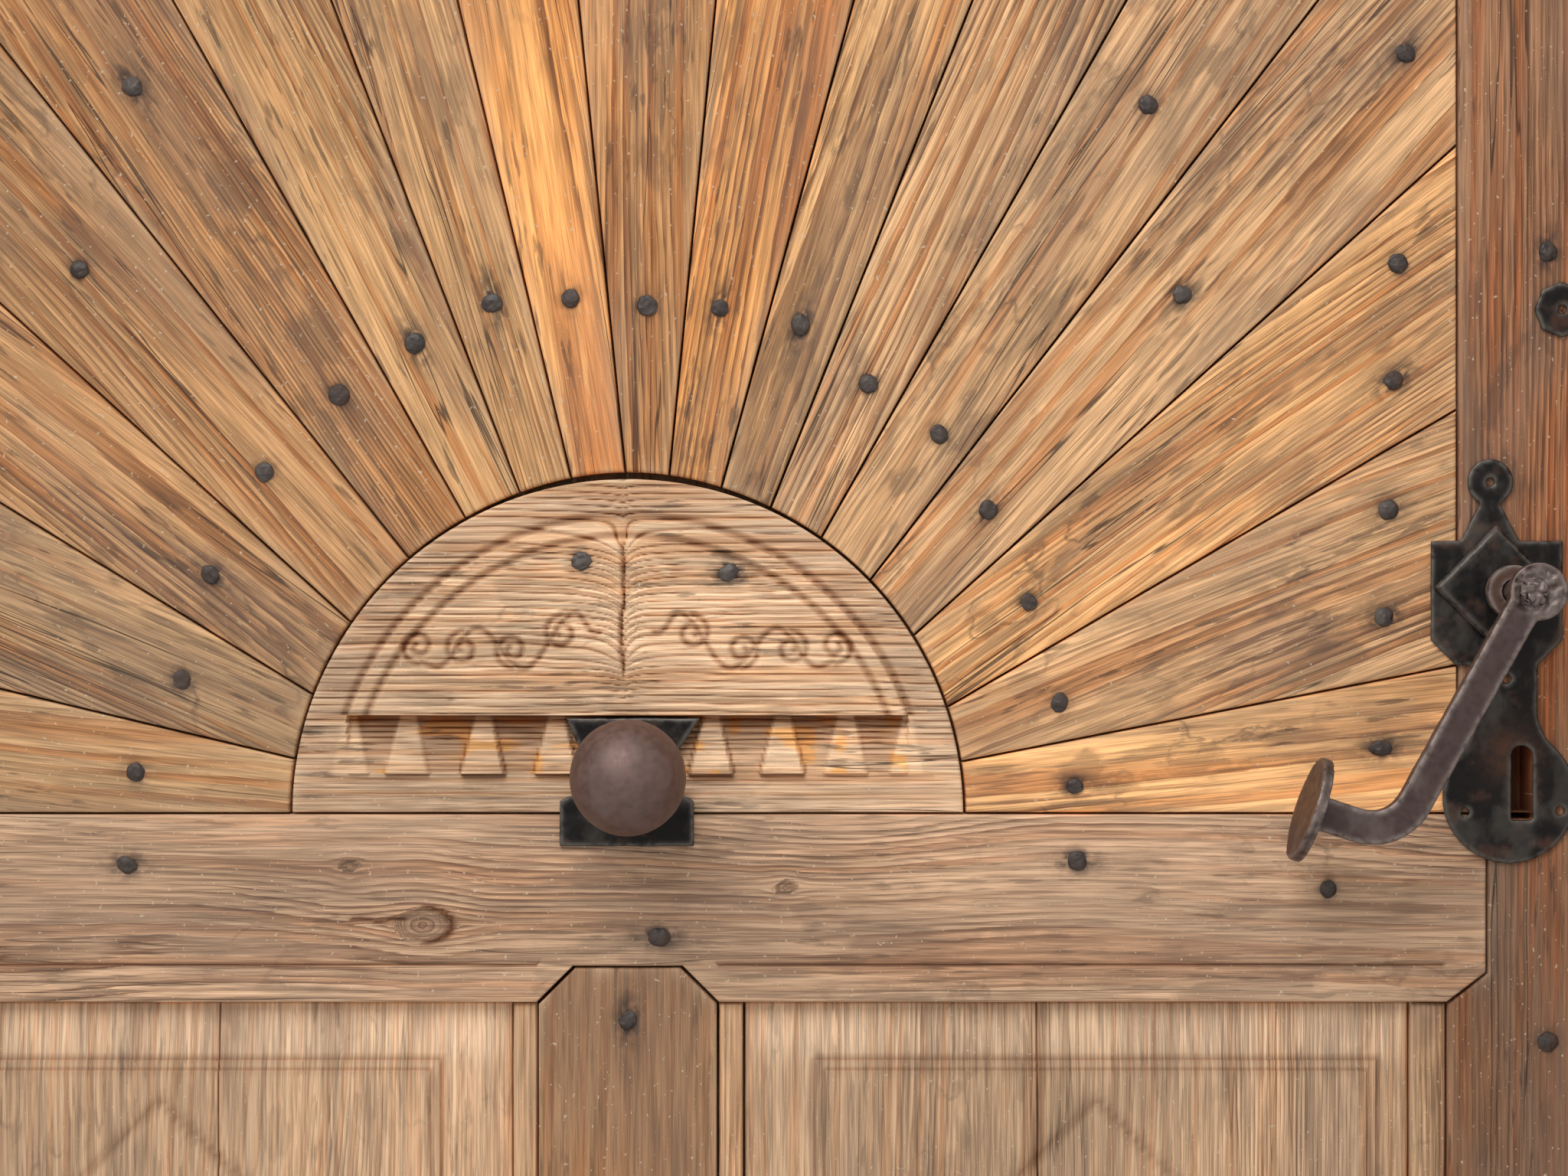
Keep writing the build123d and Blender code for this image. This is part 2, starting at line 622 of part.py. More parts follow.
def jamb_section():
    """Rebated section of the right jamb, in X and Y."""
    return polygon([
        (OPENING_HALF + FRAME_CHAMFER, FRAME_FRONT_Y), (FRAME_HALF, FRAME_FRONT_Y),
        (FRAME_HALF, FRAME_BACK_Y), (REBATE_HALF, FRAME_BACK_Y),
        (REBATE_HALF, STOP_Y), (OPENING_HALF, STOP_Y),
        (OPENING_HALF, FRAME_FRONT_Y + FRAME_CHAMFER),
    ])


def tenon(x, z_low, z_high):
    """Tenon between two frame timbers."""
    outline = block(x - TENON_WIDTH / 2, x + TENON_WIDTH / 2, z_low, z_high)
    half = TENON_THICKNESS / 2
    return board(outline, TENON_CENTRE_Y + half, TENON_CENTRE_Y - half)


def shoulder_tenon():
    """Tenon of the head that drops into the right jamb."""
    return tenon(JAMB_MIDDLE_X, SPRINGING_Z - TENON_LENGTH, SPRINGING_Z)


def foot_tenon():
    """Tenon of the right jamb that stands in the threshold."""
    return tenon(JAMB_MIDDLE_X, THRESHOLD_HEIGHT - FOOT_TENON_LENGTH, THRESHOLD_HEIGHT)


def crown_tenon():
    """Tenon of the left head segment that enters the right one."""
    middle_z = SPRINGING_Z + JAMB_MIDDLE_X
    outline = block(0, TENON_LENGTH, middle_z - TENON_WIDTH / 2, middle_z + TENON_WIDTH / 2)
    half = TENON_THICKNESS / 2
    return board(outline, TENON_CENTRE_Y + half, TENON_CENTRE_Y - half)


def peg(x, z):
    """Eight-sided wooden peg through a frame joint."""
    outline = Pos(x, z) * RegularPolygon(PEG_RADIUS, 8)
    return board(outline, FRAME_FRONT_Y + PEG_DEPTH, FRAME_FRONT_Y - PEG_PROUD)


def frame_pegs():
    """Two pegs at each joint between frame timbers."""
    pegs = []
    height = SPRINGING_Z - TENON_LENGTH / 2
    for step in (-PEG_SPACING / 2, PEG_SPACING / 2):
        pegs += [peg(side * (JAMB_MIDDLE_X + step), height) for side in (-1, 1)]
        pegs.append(peg(TENON_LENGTH / 2, SPRINGING_Z + JAMB_MIDDLE_X + step))
    return pegs


def fixing_hole(z):
    """Hole through the right jamb for a fixing into the wall."""
    plane = Plane((OPENING_HALF - 1, FIXING_HOLE_Y, z), x_dir=(0, 1, 0), z_dir=(1, 0, 0))
    return extrude(plane * Circle(FIXING_HOLE_RADIUS), amount=FRAME_FACE + 2)


def jamb_right():
    """Right jamb with its mortise, foot tenon and fixing holes."""
    section = Plane.XY.offset(THRESHOLD_HEIGHT) * jamb_section()
    solid = extrude(section, amount=SPRINGING_Z - THRESHOLD_HEIGHT)
    solid = solid - shoulder_tenon() + foot_tenon()
    for z in (FIXING_LOW_Z, FIXING_LOW_Z + FIXING_SPACING):
        solid -= fixing_hole(z)
    return solid


def head_half():
    """Right half of the arched head: the jamb's section turned about the arch's centre."""
    section = Plane.XY.offset(SPRINGING_Z) * jamb_section()
    axis = Axis((0, 0, SPRINGING_Z), (0, -1, 0))
    return revolve(section, axis=axis, revolution_arc=90) + shoulder_tenon()


def threshold():
    """Threshold with a raised, weathered outer lip between the jambs."""
    front, back = -THRESHOLD_DEPTH / 2, THRESHOLD_DEPTH / 2
    plank = Plane.YZ.offset(-FRAME_HALF) * block(front, back, 0, THRESHOLD_HEIGHT)
    lip_back = STOP_Y
    lip = Plane.YZ.offset(-OPENING_HALF) * polygon([
        (front, THRESHOLD_HEIGHT - 1), (lip_back, THRESHOLD_HEIGHT - 1),
        (lip_back, THRESHOLD_HEIGHT + LIP_HEIGHT),
        (lip_back - LIP_TOP_WIDTH, THRESHOLD_HEIGHT + LIP_HEIGHT),
        (front, THRESHOLD_HEIGHT + LIP_HEIGHT - LIP_FALL),
    ])
    solid = extrude(plank, amount=2 * FRAME_HALF) + extrude(lip, amount=2 * OPENING_HALF)
    return solid - foot_tenon() - mirrored(foot_tenon())


# Hinges

def strap(z):
    """Strap hinge: a tapered band with a pointed tip and an eye rolled round the pin."""
    end = PIN_X + STRAP_LENGTH
    half, tip = STRAP_WIDTH / 2, STRAP_TIP_WIDTH / 2
    upper = [(PIN_X, z + half), (PIN_X + STRAP_LENGTH / 4, z + half),
             (end - STRAP_POINT, z + tip), (end, z)]
    outline = upper + [(x, 2 * z - height) for x, height in reversed(upper[:-1])]
    band = board(polygon(outline), STRAP_FRONT_Y, LEAF_BACK_Y)
    eye_plane = Plane((PIN_X, PIN_Y, z - half))
    bore = PIN_RADIUS + RUNNING_GAP
    eye = extrude(eye_plane * Circle(bore + STRAP_THICKNESS), amount=STRAP_WIDTH)
    return band + eye - extrude(eye_plane * Circle(bore), amount=STRAP_WIDTH)


def pintle(z):
    """Drive-in pintle: upright pin on a shouldered bar whose spike goes into the jamb."""
    shoulder_z = z - STRAP_WIDTH / 2 - SHOULDER_GAP
    pin_plane = Plane((PIN_X, PIN_Y, shoulder_z - PINTLE_SHOULDER))
    pin = extrude(pin_plane * Circle(PIN_RADIUS), amount=PINTLE_SHOULDER + STRAP_WIDTH + PIN_TOP)
    square = Rectangle(PINTLE_SHOULDER_SIDE, PINTLE_SHOULDER_SIDE)
    shoulder = extrude(pin_plane * square, amount=PINTLE_SHOULDER)
    inner_y = PIN_Y + PINTLE_SHOULDER_SIDE / 2
    top = shoulder_z - PINTLE_SHOULDER
    side = Plane.YZ.offset(PIN_X - PINTLE_BAR / 2) * polygon([
        (inner_y, top), (inner_y, top - PINTLE_BAR),
        (FRAME_BACK_Y, top - PINTLE_BAR), (FRAME_BACK_Y - PINTLE_SPIKE, top - PINTLE_SPIKE_TIP),
        (FRAME_BACK_Y - PINTLE_SPIKE, top),
    ])
    return extrude(side, amount=PINTLE_BAR) + pin + shoulder


def strap_nail_places():
    """Nails along both straps."""
    count = int((STRAP_LENGTH - STRAP_NAIL_FIRST - STRAP_POINT) // STRAP_NAIL_PITCH) + 1
    first = PIN_X + STRAP_NAIL_FIRST
    return [(first + i * STRAP_NAIL_PITCH, z) for z in STRAP_HEIGHTS for i in range(count)]


# Knob

def ball(ball_y):
    """Ball hammered round in rings of small flats, from its front to the neck."""
    neck_turn = pi - asin(KNOB_NECK_RADIUS / BALL_RADIUS)
    rings = []
    for i in range(BALL_RINGS + 1):
        turn = neck_turn * (i + 0.5) / (BALL_RINGS + 0.5)
        radius, y = BALL_RADIUS * sin(turn), ball_y - BALL_RADIUS * cos(turn)
        sides = [2 * pi * side / BALL_SIDES for side in range(BALL_SIDES)]
        rings.append([(KNOB_X + radius * cos(a), y, KNOB_Z + radius * sin(a)) for a in sides])
    outlines = [rings[0], rings[-1][::-1]]
    for near_ring, far_ring in zip(rings, rings[1:]):
        for i in range(BALL_SIDES):
            outlines.append([near_ring[i], near_ring[i - 1], far_ring[i - 1], far_ring[i]])
    return Solid(Shell([Face(Wire.make_polygon(outline)) for outline in outlines]))


def knob():
    """Ball on a neck, with the shank that passes through the leaf."""
    seat = FACE_Y - KNOB_PLATE_THICKNESS
    ball_y = seat - KNOB_NECK_LENGTH - sqrt(BALL_RADIUS**2 - KNOB_NECK_RADIUS**2)
    end = LEAF_BACK_Y + WASHER_THICKNESS + NUT_THICKNESS + SHANK_END_LENGTH
    middle = Pos(KNOB_X, KNOB_Z)
    neck = board(middle * Circle(KNOB_NECK_RADIUS), seat, seat - KNOB_NECK_LENGTH - 1)
    return ball(ball_y) + neck + board(middle * Circle(KNOB_SHANK_RADIUS), end, seat - 1)


def knob_plate():
    """Bow-tie plate behind the ball, its upper part tucked between the drops."""
    top = LEDGE_Z - KNOB_PLATE_GAP
    waist, waist_top = KNOB_PLATE_WAIST_HALF, top - KNOB_PLATE_WAIST_TOP
    waist_foot, shoulder = top - KNOB_PLATE_WAIST_FOOT, top - KNOB_PLATE_SHOULDER
    foot = top - KNOB_PLATE_HEIGHT
    left, right = KNOB_PLATE_FOOT
    outline = polygon([
        (KNOB_PLATE_TOP[0], top), (KNOB_PLATE_TOP[1], top), (waist, waist_top),
        (waist, waist_foot), (right, shoulder), (right, foot), (left, foot),
        (left, shoulder), (-waist, waist_foot), (-waist, waist_top),
    ])
    hole = Pos(KNOB_X, KNOB_Z) * Circle(KNOB_SHANK_RADIUS + SHANK_CLEARANCE)
    return board(outline - hole, FACE_Y, FACE_Y - KNOB_PLATE_THICKNESS)


def knob_nut():
    """Square washer and square nut on the inside."""
    bore = Pos(KNOB_X, KNOB_Z) * Circle(KNOB_SHANK_RADIUS + SHANK_CLEARANCE)
    washer = Pos(KNOB_X, KNOB_Z) * Rectangle(WASHER_SIDE, WASHER_SIDE) - bore
    nut = Pos(KNOB_X, KNOB_Z) * Rectangle(NUT_SIDE, NUT_SIDE) - bore
    washer_y = LEAF_BACK_Y + WASHER_THICKNESS
    return [board(washer, washer_y, LEAF_BACK_Y), board(nut, washer_y + NUT_THICKNESS, washer_y)]


# Plates round the lock

def keyhole():
    """Round top with a straight slot below it."""
    half = KEYHOLE_SLOT_WIDTH / 2
    slot = block(KEYHOLE_X - half, KEYHOLE_X + half,
                 BASE_LINE_Z + KEYHOLE_BOTTOM, BASE_LINE_Z + KEYHOLE_TOP)
    return slot + Pos(KEYHOLE_X, BASE_LINE_Z + KEYHOLE_TOP) * Circle(KEYHOLE_RADIUS)


def spindle_hole(extra):
    """Hole round the spindle with a given clearance."""
    return Pos(SPINDLE_X, SPINDLE_Z) * Circle(SPINDLE_RADIUS + extra)


def key_plate():
    """Key plate: nail disc, square middle with cut corners, waist and round foot."""
    left, right = SPINDLE_X + PLATE_SQUARE_LEFT, SPINDLE_X + PLATE_SQUARE_RIGHT
    waist_left, waist_right = SPINDLE_X + PLATE_WAIST_LEFT, SPINDLE_X + PLATE_WAIST_RIGHT
    top, bottom = BASE_LINE_Z + PLATE_SQUARE_TOP, BASE_LINE_Z + PLATE_SQUARE_BOTTOM
    square = polygon([
        (left, top), (right, top), (right, bottom + PLATE_CORNER_CUT), (waist_right, bottom),
        (left + PLATE_CORNER_CUT, bottom), (left, bottom + PLATE_CORNER_CUT),
    ])
    disc_x, disc_z = from_spindle(PLATE_DISC)
    neck_half = PLATE_NECK_WIDTH / 2
    neck = polygon([
        (disc_x - neck_half, disc_z), (disc_x + neck_half, disc_z),
        (disc_x + neck_half, disc_z - PLATE_DISC_RADIUS),
        (disc_x + PLATE_NECK_FLARE / 2, top), (disc_x - PLATE_NECK_FLARE / 2, top),
        (disc_x - neck_half, disc_z - PLATE_DISC_RADIUS),
    ])
    round_x, round_z = from_spindle(PLATE_ROUND)
    foot = block(waist_left, waist_right, round_z, bottom)
    foot += Pos(round_x, round_z) * Circle(PLATE_ROUND_RADIUS)
    shoulders = [v for v in foot.vertices() if round_z + 1 < v.Y < bottom - 1]
    foot = fillet(shoulders, PLATE_FLARE_RADIUS)
    outline = square + neck + Pos(disc_x, disc_z) * Circle(PLATE_DISC_RADIUS) + foot
    for hole in PLATE_HOLES:
        outline -= Pos(*from_spindle(hole)) * Circle(PLATE_HOLE_RADIUS)
    outline = outline - keyhole() - spindle_hole(RUNNING_GAP + 1)
    return board(outline, FACE_Y, PLATE_Y)


def boss_plate():
    """Square plate set on its corner, with sloping edges, round the spindle."""
    x, z = from_spindle(BOSS_CENTRE)
    side = BOSS_HALF_DIAGONAL * sqrt(2)
    base = Pos(x, z) * Rot(0, 0, 45) * Rectangle(side, side)
    crown = Pos(x, z) * Rot(0, 0, 45) * Rectangle(side - 2 * BOSS_CHAMFER, side - 2 * BOSS_CHAMFER)
    solid = board(base, PLATE_Y, PLATE_Y - BOSS_THICKNESS / 2)
    slope = [Plane.XZ.offset(-(PLATE_Y - BOSS_THICKNESS / 2)) * base, Plane.XZ.offset(-BOSS_Y) * crown]
    return solid + loft(slope) - board(spindle_hole(RUNNING_GAP + 1), FACE_Y, BOSS_Y - 1)


def spindle_collar():
    """Ring that the spindle turns in."""
    ring = Pos(SPINDLE_X, SPINDLE_Z) * Circle(COLLAR_RADIUS) - spindle_hole(RUNNING_GAP)
    return board(ring, BOSS_Y, COLLAR_Y)


def small_plate():
    """Eight-sided plate higher on the stile."""
    outline = Pos(*from_spindle(SMALL_PLATE_CENTRE)) * RegularPolygon(SMALL_PLATE_RADIUS, 8)
    return board(outline, FACE_Y, PLATE_Y)


# Lever

def lever_heading():
    """Unit direction of the lever's last stretch."""
    across, up = LEVER_END[0] - LEVER_BEND[0], LEVER_END[1] - LEVER_BEND[1]
    length = hypot(across, up)
    return across / length, up / length


def lever_outer():
    """Forged lever: flat bar with an eye, a bend, and a round plate across its end."""
    places = [(0, 0), LEVER_BEND, LEVER_END]
    points = [(SPINDLE_X + x, SPINDLE_Z + z) for x, z in places]
    path = FilletPolyline(*points, radius=LEVER_BEND_RADIUS)
    bar = make_face(offset(path, amount=LEVER_WIDTH / 2))
    eye = Pos(SPINDLE_X + LEVER_EYE_OFFSET, SPINDLE_Z) * Circle(LEVER_EYE_RADIUS)
    square = Pos(SPINDLE_X, SPINDLE_Z) * Rectangle(SPINDLE_SQUARE, SPINDLE_SQUARE)
    across, up = lever_heading()
    middle_y = (LEVER_BACK_Y + LEVER_FRONT_Y) / 2
    end_x, end_z = points[-1]
    end_plane = Plane((end_x, middle_y, end_z), x_dir=(0, 1, 0), z_dir=(across, 0, up))
    disc = extrude(end_plane * Circle(LEVER_DISC_RADIUS), amount=LEVER_DISC_THICKNESS)
    beyond = extrude(end_plane * Circle(2 * LEVER_DISC_RADIUS), amount=LEVER_WIDTH)
    return board(bar + eye - square, LEVER_BACK_Y, LEVER_FRONT_Y) - beyond + disc


def spindle():
    """Round spindle with square ends, peened over both levers."""
    shoulder_y = LEAF_BACK_Y - SPINDLE_SHOULDER_DEPTH
    inner_front = INNER_LEVER_Y + LEVER_THICKNESS
    solid = board(spindle_hole(0), shoulder_y, LEVER_BACK_Y)
    solid += square_bar(SPINDLE_X, SPINDLE_Z, SPINDLE_SQUARE, inner_front, shoulder_y)
    solid += square_bar(SPINDLE_X, SPINDLE_Z, SPINDLE_SQUARE, LEVER_BACK_Y, LEVER_FRONT_Y)
    head = Pos(SPINDLE_X, SPINDLE_Z) * RegularPolygon(PEEN_RADIUS, 8)
    outer_head = board(head, LEVER_FRONT_Y, LEVER_FRONT_Y - PEEN_HEIGHT)
    inner_head = board(head, inner_front + PEEN_HEIGHT, inner_front)
    front_edges = outer_head.faces().sort_by(Axis.Y)[0].edges()
    back_edges = inner_head.faces().sort_by(Axis.Y)[-1].edges()
    return solid + chamfer(front_edges, PEEN_CHAMFER) + chamfer(back_edges, PEEN_CHAMFER)


def follower():
    """Cam on the spindle: its arm draws the latch bolt back, its tail presses the spring."""
    arm = block(SPINDLE_X - FOLLOWER_ARM_WIDTH / 2, SPINDLE_X + FOLLOWER_ARM_WIDTH / 2,
                SPINDLE_Z, SPINDLE_Z + FOLLOWER_ARM)
    square = Pos(SPINDLE_X, SPINDLE_Z) * Rectangle(SPINDLE_SQUARE, SPINDLE_SQUARE)
    half = FOLLOWER_ARM_WIDTH / 2
    tail = block(SPINDLE_X - FOLLOWER_TAIL, SPINDLE_X, SPINDLE_Z - half, SPINDLE_Z + half)
    outline = Pos(SPINDLE_X, SPINDLE_Z) * Circle(FOLLOWER_RADIUS) + arm + tail - square
    return board(outline, FOLLOWER_Y + FOLLOWER_THICKNESS, FOLLOWER_Y)


def shelf_z():
    """Top of the shelf that carries the latch spring."""
    return SPINDLE_Z - FOLLOWER_ARM_WIDTH / 2 - SPRING_GAP - SPRING_HEIGHT


def latch_spring():
    """C-shaped flat spring between the case's shelf and the follower's tail."""
    half = SPRING_THICKNESS / 2
    low, high = shelf_z() + half, shelf_z() + SPRING_HEIGHT - half
    right = SPINDLE_X - SPRING_SHELF_RIGHT
    left = right - SPRING_LENGTH
    points = [(right, low), (left, low), (left, high), (right, high)]
    path = FilletPolyline(*points, radius=SPRING_BEND_RADIUS)
    outline = make_face(offset(path, amount=half))
    return board(outline, FOLLOWER_Y + FOLLOWER_THICKNESS, FOLLOWER_Y)


def lever_inner():
    """Plain inner lever: an eye and a straight tapered bar."""
    turn = radians(INNER_LEVER_HEADING)
    end = (SPINDLE_X + INNER_LEVER_LENGTH * cos(turn), SPINDLE_Z + INNER_LEVER_LENGTH * sin(turn))
    path = Line((SPINDLE_X, SPINDLE_Z), end)
    outline = make_face(offset(path, amount=INNER_LEVER_WIDTH / 2))
    outline += Pos(SPINDLE_X, SPINDLE_Z) * Circle(INNER_LEVER_EYE)
    outline -= Pos(SPINDLE_X, SPINDLE_Z) * Rectangle(SPINDLE_SQUARE, SPINDLE_SQUARE)
    return board(outline, INNER_LEVER_Y + LEVER_THICKNESS, INNER_LEVER_Y)


# Lock and keeper

def latch_bolt():
    """Spring latch: bar with a lug for the follower and a bevelled nose."""
    low = SPINDLE_Z + LATCH_UNDERSIDE
    nose = LEAF_HALF + LATCH_PROUD
    lug_right = SPINDLE_X - FOLLOWER_ARM_WIDTH / 2 - LATCH_LUG_GAP
    outline = block(SPINDLE_X - LATCH_TAIL, nose, low, low + LATCH_HEIGHT)
    outline += block(lug_right - LATCH_LUG_WIDTH, lug_right, low - LATCH_LUG_DROP, low)
    bar = board(outline, BOLT_Y + BOLT_THICKNESS, BOLT_Y)
    bevel = Plane.XY.offset(low - 1) * polygon([
        (nose + 1, BOLT_Y - 1), (nose + 1, BOLT_Y + LATCH_NOSE), (nose, BOLT_Y + LATCH_NOSE),
        (nose - LATCH_NOSE, BOLT_Y), (nose - LATCH_NOSE, BOLT_Y - 1),
    ])
    return bar - extrude(bevel, amount=LATCH_HEIGHT + 2)


def dead_bolt():
    """Dead bolt, drawn back, with the talon that the key moves."""
    top = SPINDLE_Z + DEAD_BOLT_TOP
    low = top - DEAD_BOLT_HEIGHT
    outline = block(SPINDLE_X - DEAD_BOLT_TAIL, CASE_RIGHT_X, low, top)
    outline -= block(KEYHOLE_X - TALON_WIDTH / 2, KEYHOLE_X + TALON_WIDTH / 2, low - 1, low + TALON_DEPTH)
    return board(outline, BOLT_Y + BOLT_THICKNESS, BOLT_Y)


def bolt_slot(low, high):
    """Slot in the case's end wall for a bolt."""
    gap = BOLT_SLOT_GAP
    outline = block(CASE_RIGHT_X - CASE_WALL - 1, CASE_RIGHT_X + 1, low - gap, high + gap)
    return board(outline, BOLT_Y + BOLT_THICKNESS + gap, BOLT_Y - gap)


def case_ears():
    """Places of the nailed ears, as the ear's X limits and middle height."""
    left = SPINDLE_X - CASE_LEFT
    top, low = SPINDLE_Z + CASE_UP, SPINDLE_Z - CASE_DOWN
    return [(left - CASE_EAR, z) for z in (top - CASE_EAR_HEIGHT, low + CASE_EAR_HEIGHT)]


def ear_nail_places():
    """Nails through the ears of the lock case."""
    return [(x + CASE_EAR / 2, z) for x, z in case_ears()]


def lock_case():
    """Open-backed iron case with ears, slots for both bolts, spindle hole and keyhole."""
    left, right = SPINDLE_X - CASE_LEFT, CASE_RIGHT_X
    low, top = SPINDLE_Z - CASE_DOWN, SPINDLE_Z + CASE_UP
    shell = board(block(left, right, low, top), CASE_FRONT_Y, LEAF_BACK_Y)
    hollow = block(left + CASE_WALL, right - CASE_WALL, low + CASE_WALL, top - CASE_WALL)
    shell -= board(hollow, CASE_FRONT_Y - CASE_WALL, LEAF_BACK_Y)
    for x, z in case_ears():
        half = CASE_EAR_HEIGHT / 2
        shell += board(block(x, left + 1, z - half, z + half), LEAF_BACK_Y + CASE_WALL, LEAF_BACK_Y)
    shelf = block(SPINDLE_X - SPRING_SHELF_LEFT, SPINDLE_X - SPRING_SHELF_RIGHT,
                  shelf_z() - SPRING_SHELF, shelf_z())
    shell += board(shelf, CASE_FRONT_Y - CASE_WALL, FOLLOWER_Y)
    latch_low = SPINDLE_Z + LATCH_UNDERSIDE
    dead_top = SPINDLE_Z + DEAD_BOLT_TOP
    shell -= bolt_slot(latch_low, latch_low + LATCH_HEIGHT)
    shell -= bolt_slot(dead_top - DEAD_BOLT_HEIGHT, dead_top)
    openings = keyhole() + spindle_hole(1)
    return shell - board(openings, CASE_FRONT_Y + 1, CASE_FRONT_Y - CASE_WALL - 1)


def keeper_limits():
    """Left and right, bottom and top of the keeper's box."""
    left = REBATE_HALF + KEEPER_GAP
    low = SPINDLE_Z + DEAD_BOLT_TOP - DEAD_BOLT_HEIGHT - KEEPER_MARGIN
    top = SPINDLE_Z + LATCH_UNDERSIDE + LATCH_HEIGHT + KEEPER_MARGIN
    return left, left + KEEPER_REACH, low, top


def keeper():
    """Box keeper on the frame, open towards the leaf, with nailed flanges."""
    left, right, low, top = keeper_limits()
    back = FRAME_BACK_Y
    front = CASE_FRONT_Y
    box = board(block(left, right, low, top), front, back)
    inside = block(left - 1, right - KEEPER_WALL, low + KEEPER_WALL, top - KEEPER_WALL)
    box -= board(inside, front - KEEPER_WALL, back)
    for flange_low in (low - KEEPER_FLANGE, top):
        flange = block(left, right, flange_low, flange_low + KEEPER_FLANGE)
        box += board(flange, back + KEEPER_WALL, back)
    return box


def keeper_nail_places():
    """Two nails in each flange of the keeper."""
    left, right, low, top = keeper_limits()
    quarter = (right - left) / 4
    heights = (low - KEEPER_FLANGE / 2, top + KEEPER_FLANGE / 2)
    return [(x, z) for z in heights for x in (left + quarter, right - quarter)]


# Assembly

def drilled(solid, tools):
    """A piece with the holes that other pieces need."""
    for tool in tools:
        solid -= tool
    return solid


def near(shape, tools):
    """The tools whose box meets a piece's box."""
    box = shape.bounding_box()
    chosen = []
    for tool in tools:
        other = tool.bounding_box()
        apart = (other.min.X > box.max.X or other.max.X < box.min.X
                 or other.min.Z > box.max.Z or other.max.Z < box.min.Z
                 or other.min.Y > box.max.Y or other.max.Y < box.min.Y)
        if not apart:
            chosen.append(tool)
    return chosen


def leaf_boards():
    """Outer layer and planks of the leaf, before any holes."""
    pieces = {"hub": hub(), "mid_rail": board(rail_outline(), LAYER_Y, FACE_Y), "muntin": muntin()}
    for number, solid in enumerate(rays(), start=1):
        pieces[f"ray_{number:02d}"] = solid
    pieces["panel_right"] = panel_right()
    pieces["panel_left"] = mirrored(panel_right())
    pieces["stile_right"] = stile_right()
    pieces["stile_left"] = mirrored(stile_right())
    pieces["leaf_arch_right"] = leaf_arch_right()
    pieces["leaf_arch_left"] = mirrored(leaf_arch_right())
    pieces["bottom_rail"] = bottom_rail()
    for number, solid in enumerate(planks(), start=1):
        pieces[f"back_plank_{number}"] = solid
    return pieces


def leaf_holes():
    """Holes through the leaf for the knob, the spindle and the key."""
    through = [
        Pos(KNOB_X, KNOB_Z) * Circle(KNOB_SHANK_RADIUS + SHANK_CLEARANCE),
        spindle_hole(WOOD_HOLE_GAP),
        keyhole(),
    ]
    return [board(outline, LEAF_BACK_Y + 1, FIELD_Y - DROP_PROUD - 1) for outline in through]


def leaf_pieces():
    """Every piece that swings with the leaf and doesn't move in it."""
    face_nails = wood_nails()
    small_plate_nail = nail(*from_spindle(SMALL_PLATE_CENTRE), PLATE_Y)
    disc_nail = nail(*from_spindle(PLATE_DISC), PLATE_Y)
    strap_seat = LEAF_BACK_Y + STRAP_THICKNESS
    strap_nails = [nail(x, z, strap_seat, inward=False) for x, z in strap_nail_places()]
    ear_nails = [nail(x, z, LEAF_BACK_Y + CASE_WALL, inward=False) for x, z in ear_nail_places()]
    iron_nails = [small_plate_nail, disc_nail] + strap_nails + ear_nails
    tools = face_nails + iron_nails + leaf_holes()
    pieces = {name: drilled(solid, near(solid, tools)) for name, solid in leaf_boards().items()}
    irons = {
        "strap_lower": strap(STRAP_HEIGHTS[0]), "strap_upper": strap(STRAP_HEIGHTS[1]),
        "key_plate": key_plate(), "small_plate": small_plate(), "lock_case": lock_case(),
    }
    pieces.update({name: drilled(solid, near(solid, iron_nails)) for name, solid in irons.items()})
    pieces["knob"] = knob()
    pieces["knob_plate"] = knob_plate()
    pieces["boss_plate"] = boss_plate()
    pieces["spindle_collar"] = spindle_collar()
    pieces["knob_nut"] = Compound(children=knob_nut())
    pieces["panel_strips"] = Compound(children=panel_strips())
    pieces["wood_nails"] = Compound(children=face_nails)
    pieces["iron_nails"] = Compound(children=iron_nails)
    return pieces


def frame_pieces():
    """Every piece that stays with the wall."""
    pegs = frame_pegs()
    pintles = [pintle(z) for z in STRAP_HEIGHTS]
    seat = FRAME_BACK_Y + KEEPER_WALL
    keeper_nails = [nail(x, z, seat, inward=False) for x, z in keeper_nail_places()]
    timbers = {
        "threshold": threshold(), "jamb_right": jamb_right(), "jamb_left": mirrored(jamb_right()),
        "head_right": head_half() - crown_tenon(), "head_left": mirrored(head_half()) + crown_tenon(),
        "keeper": keeper(),
    }
    tools = pegs + pintles + keeper_nails
    pieces = {name: drilled(solid, near(solid, tools)) for name, solid in timbers.items()}
    pieces["pintle_lower"], pieces["pintle_upper"] = pintles
    pieces["frame_pegs"] = Compound(children=pegs)
    pieces["keeper_nails"] = Compound(children=keeper_nails)
    return pieces


def moving_pieces():
    """Lever with its spindle and spring, and the two bolts."""
    return {
        "lever_outer": lever_outer(), "spindle": spindle(), "follower": follower(),
        "lever_inner": lever_inner(), "latch_spring": latch_spring(),
        "latch_bolt": latch_bolt(), "dead_bolt": dead_bolt(),
    }


os.makedirs("parts", exist_ok=True)
for piece_name, piece in {**frame_pieces(), **leaf_pieces(), **moving_pieces()}.items():
    export_step(piece, f"parts/{piece_name}.step")
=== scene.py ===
import logging
import math
from dataclasses import dataclass, field
from enum import Enum

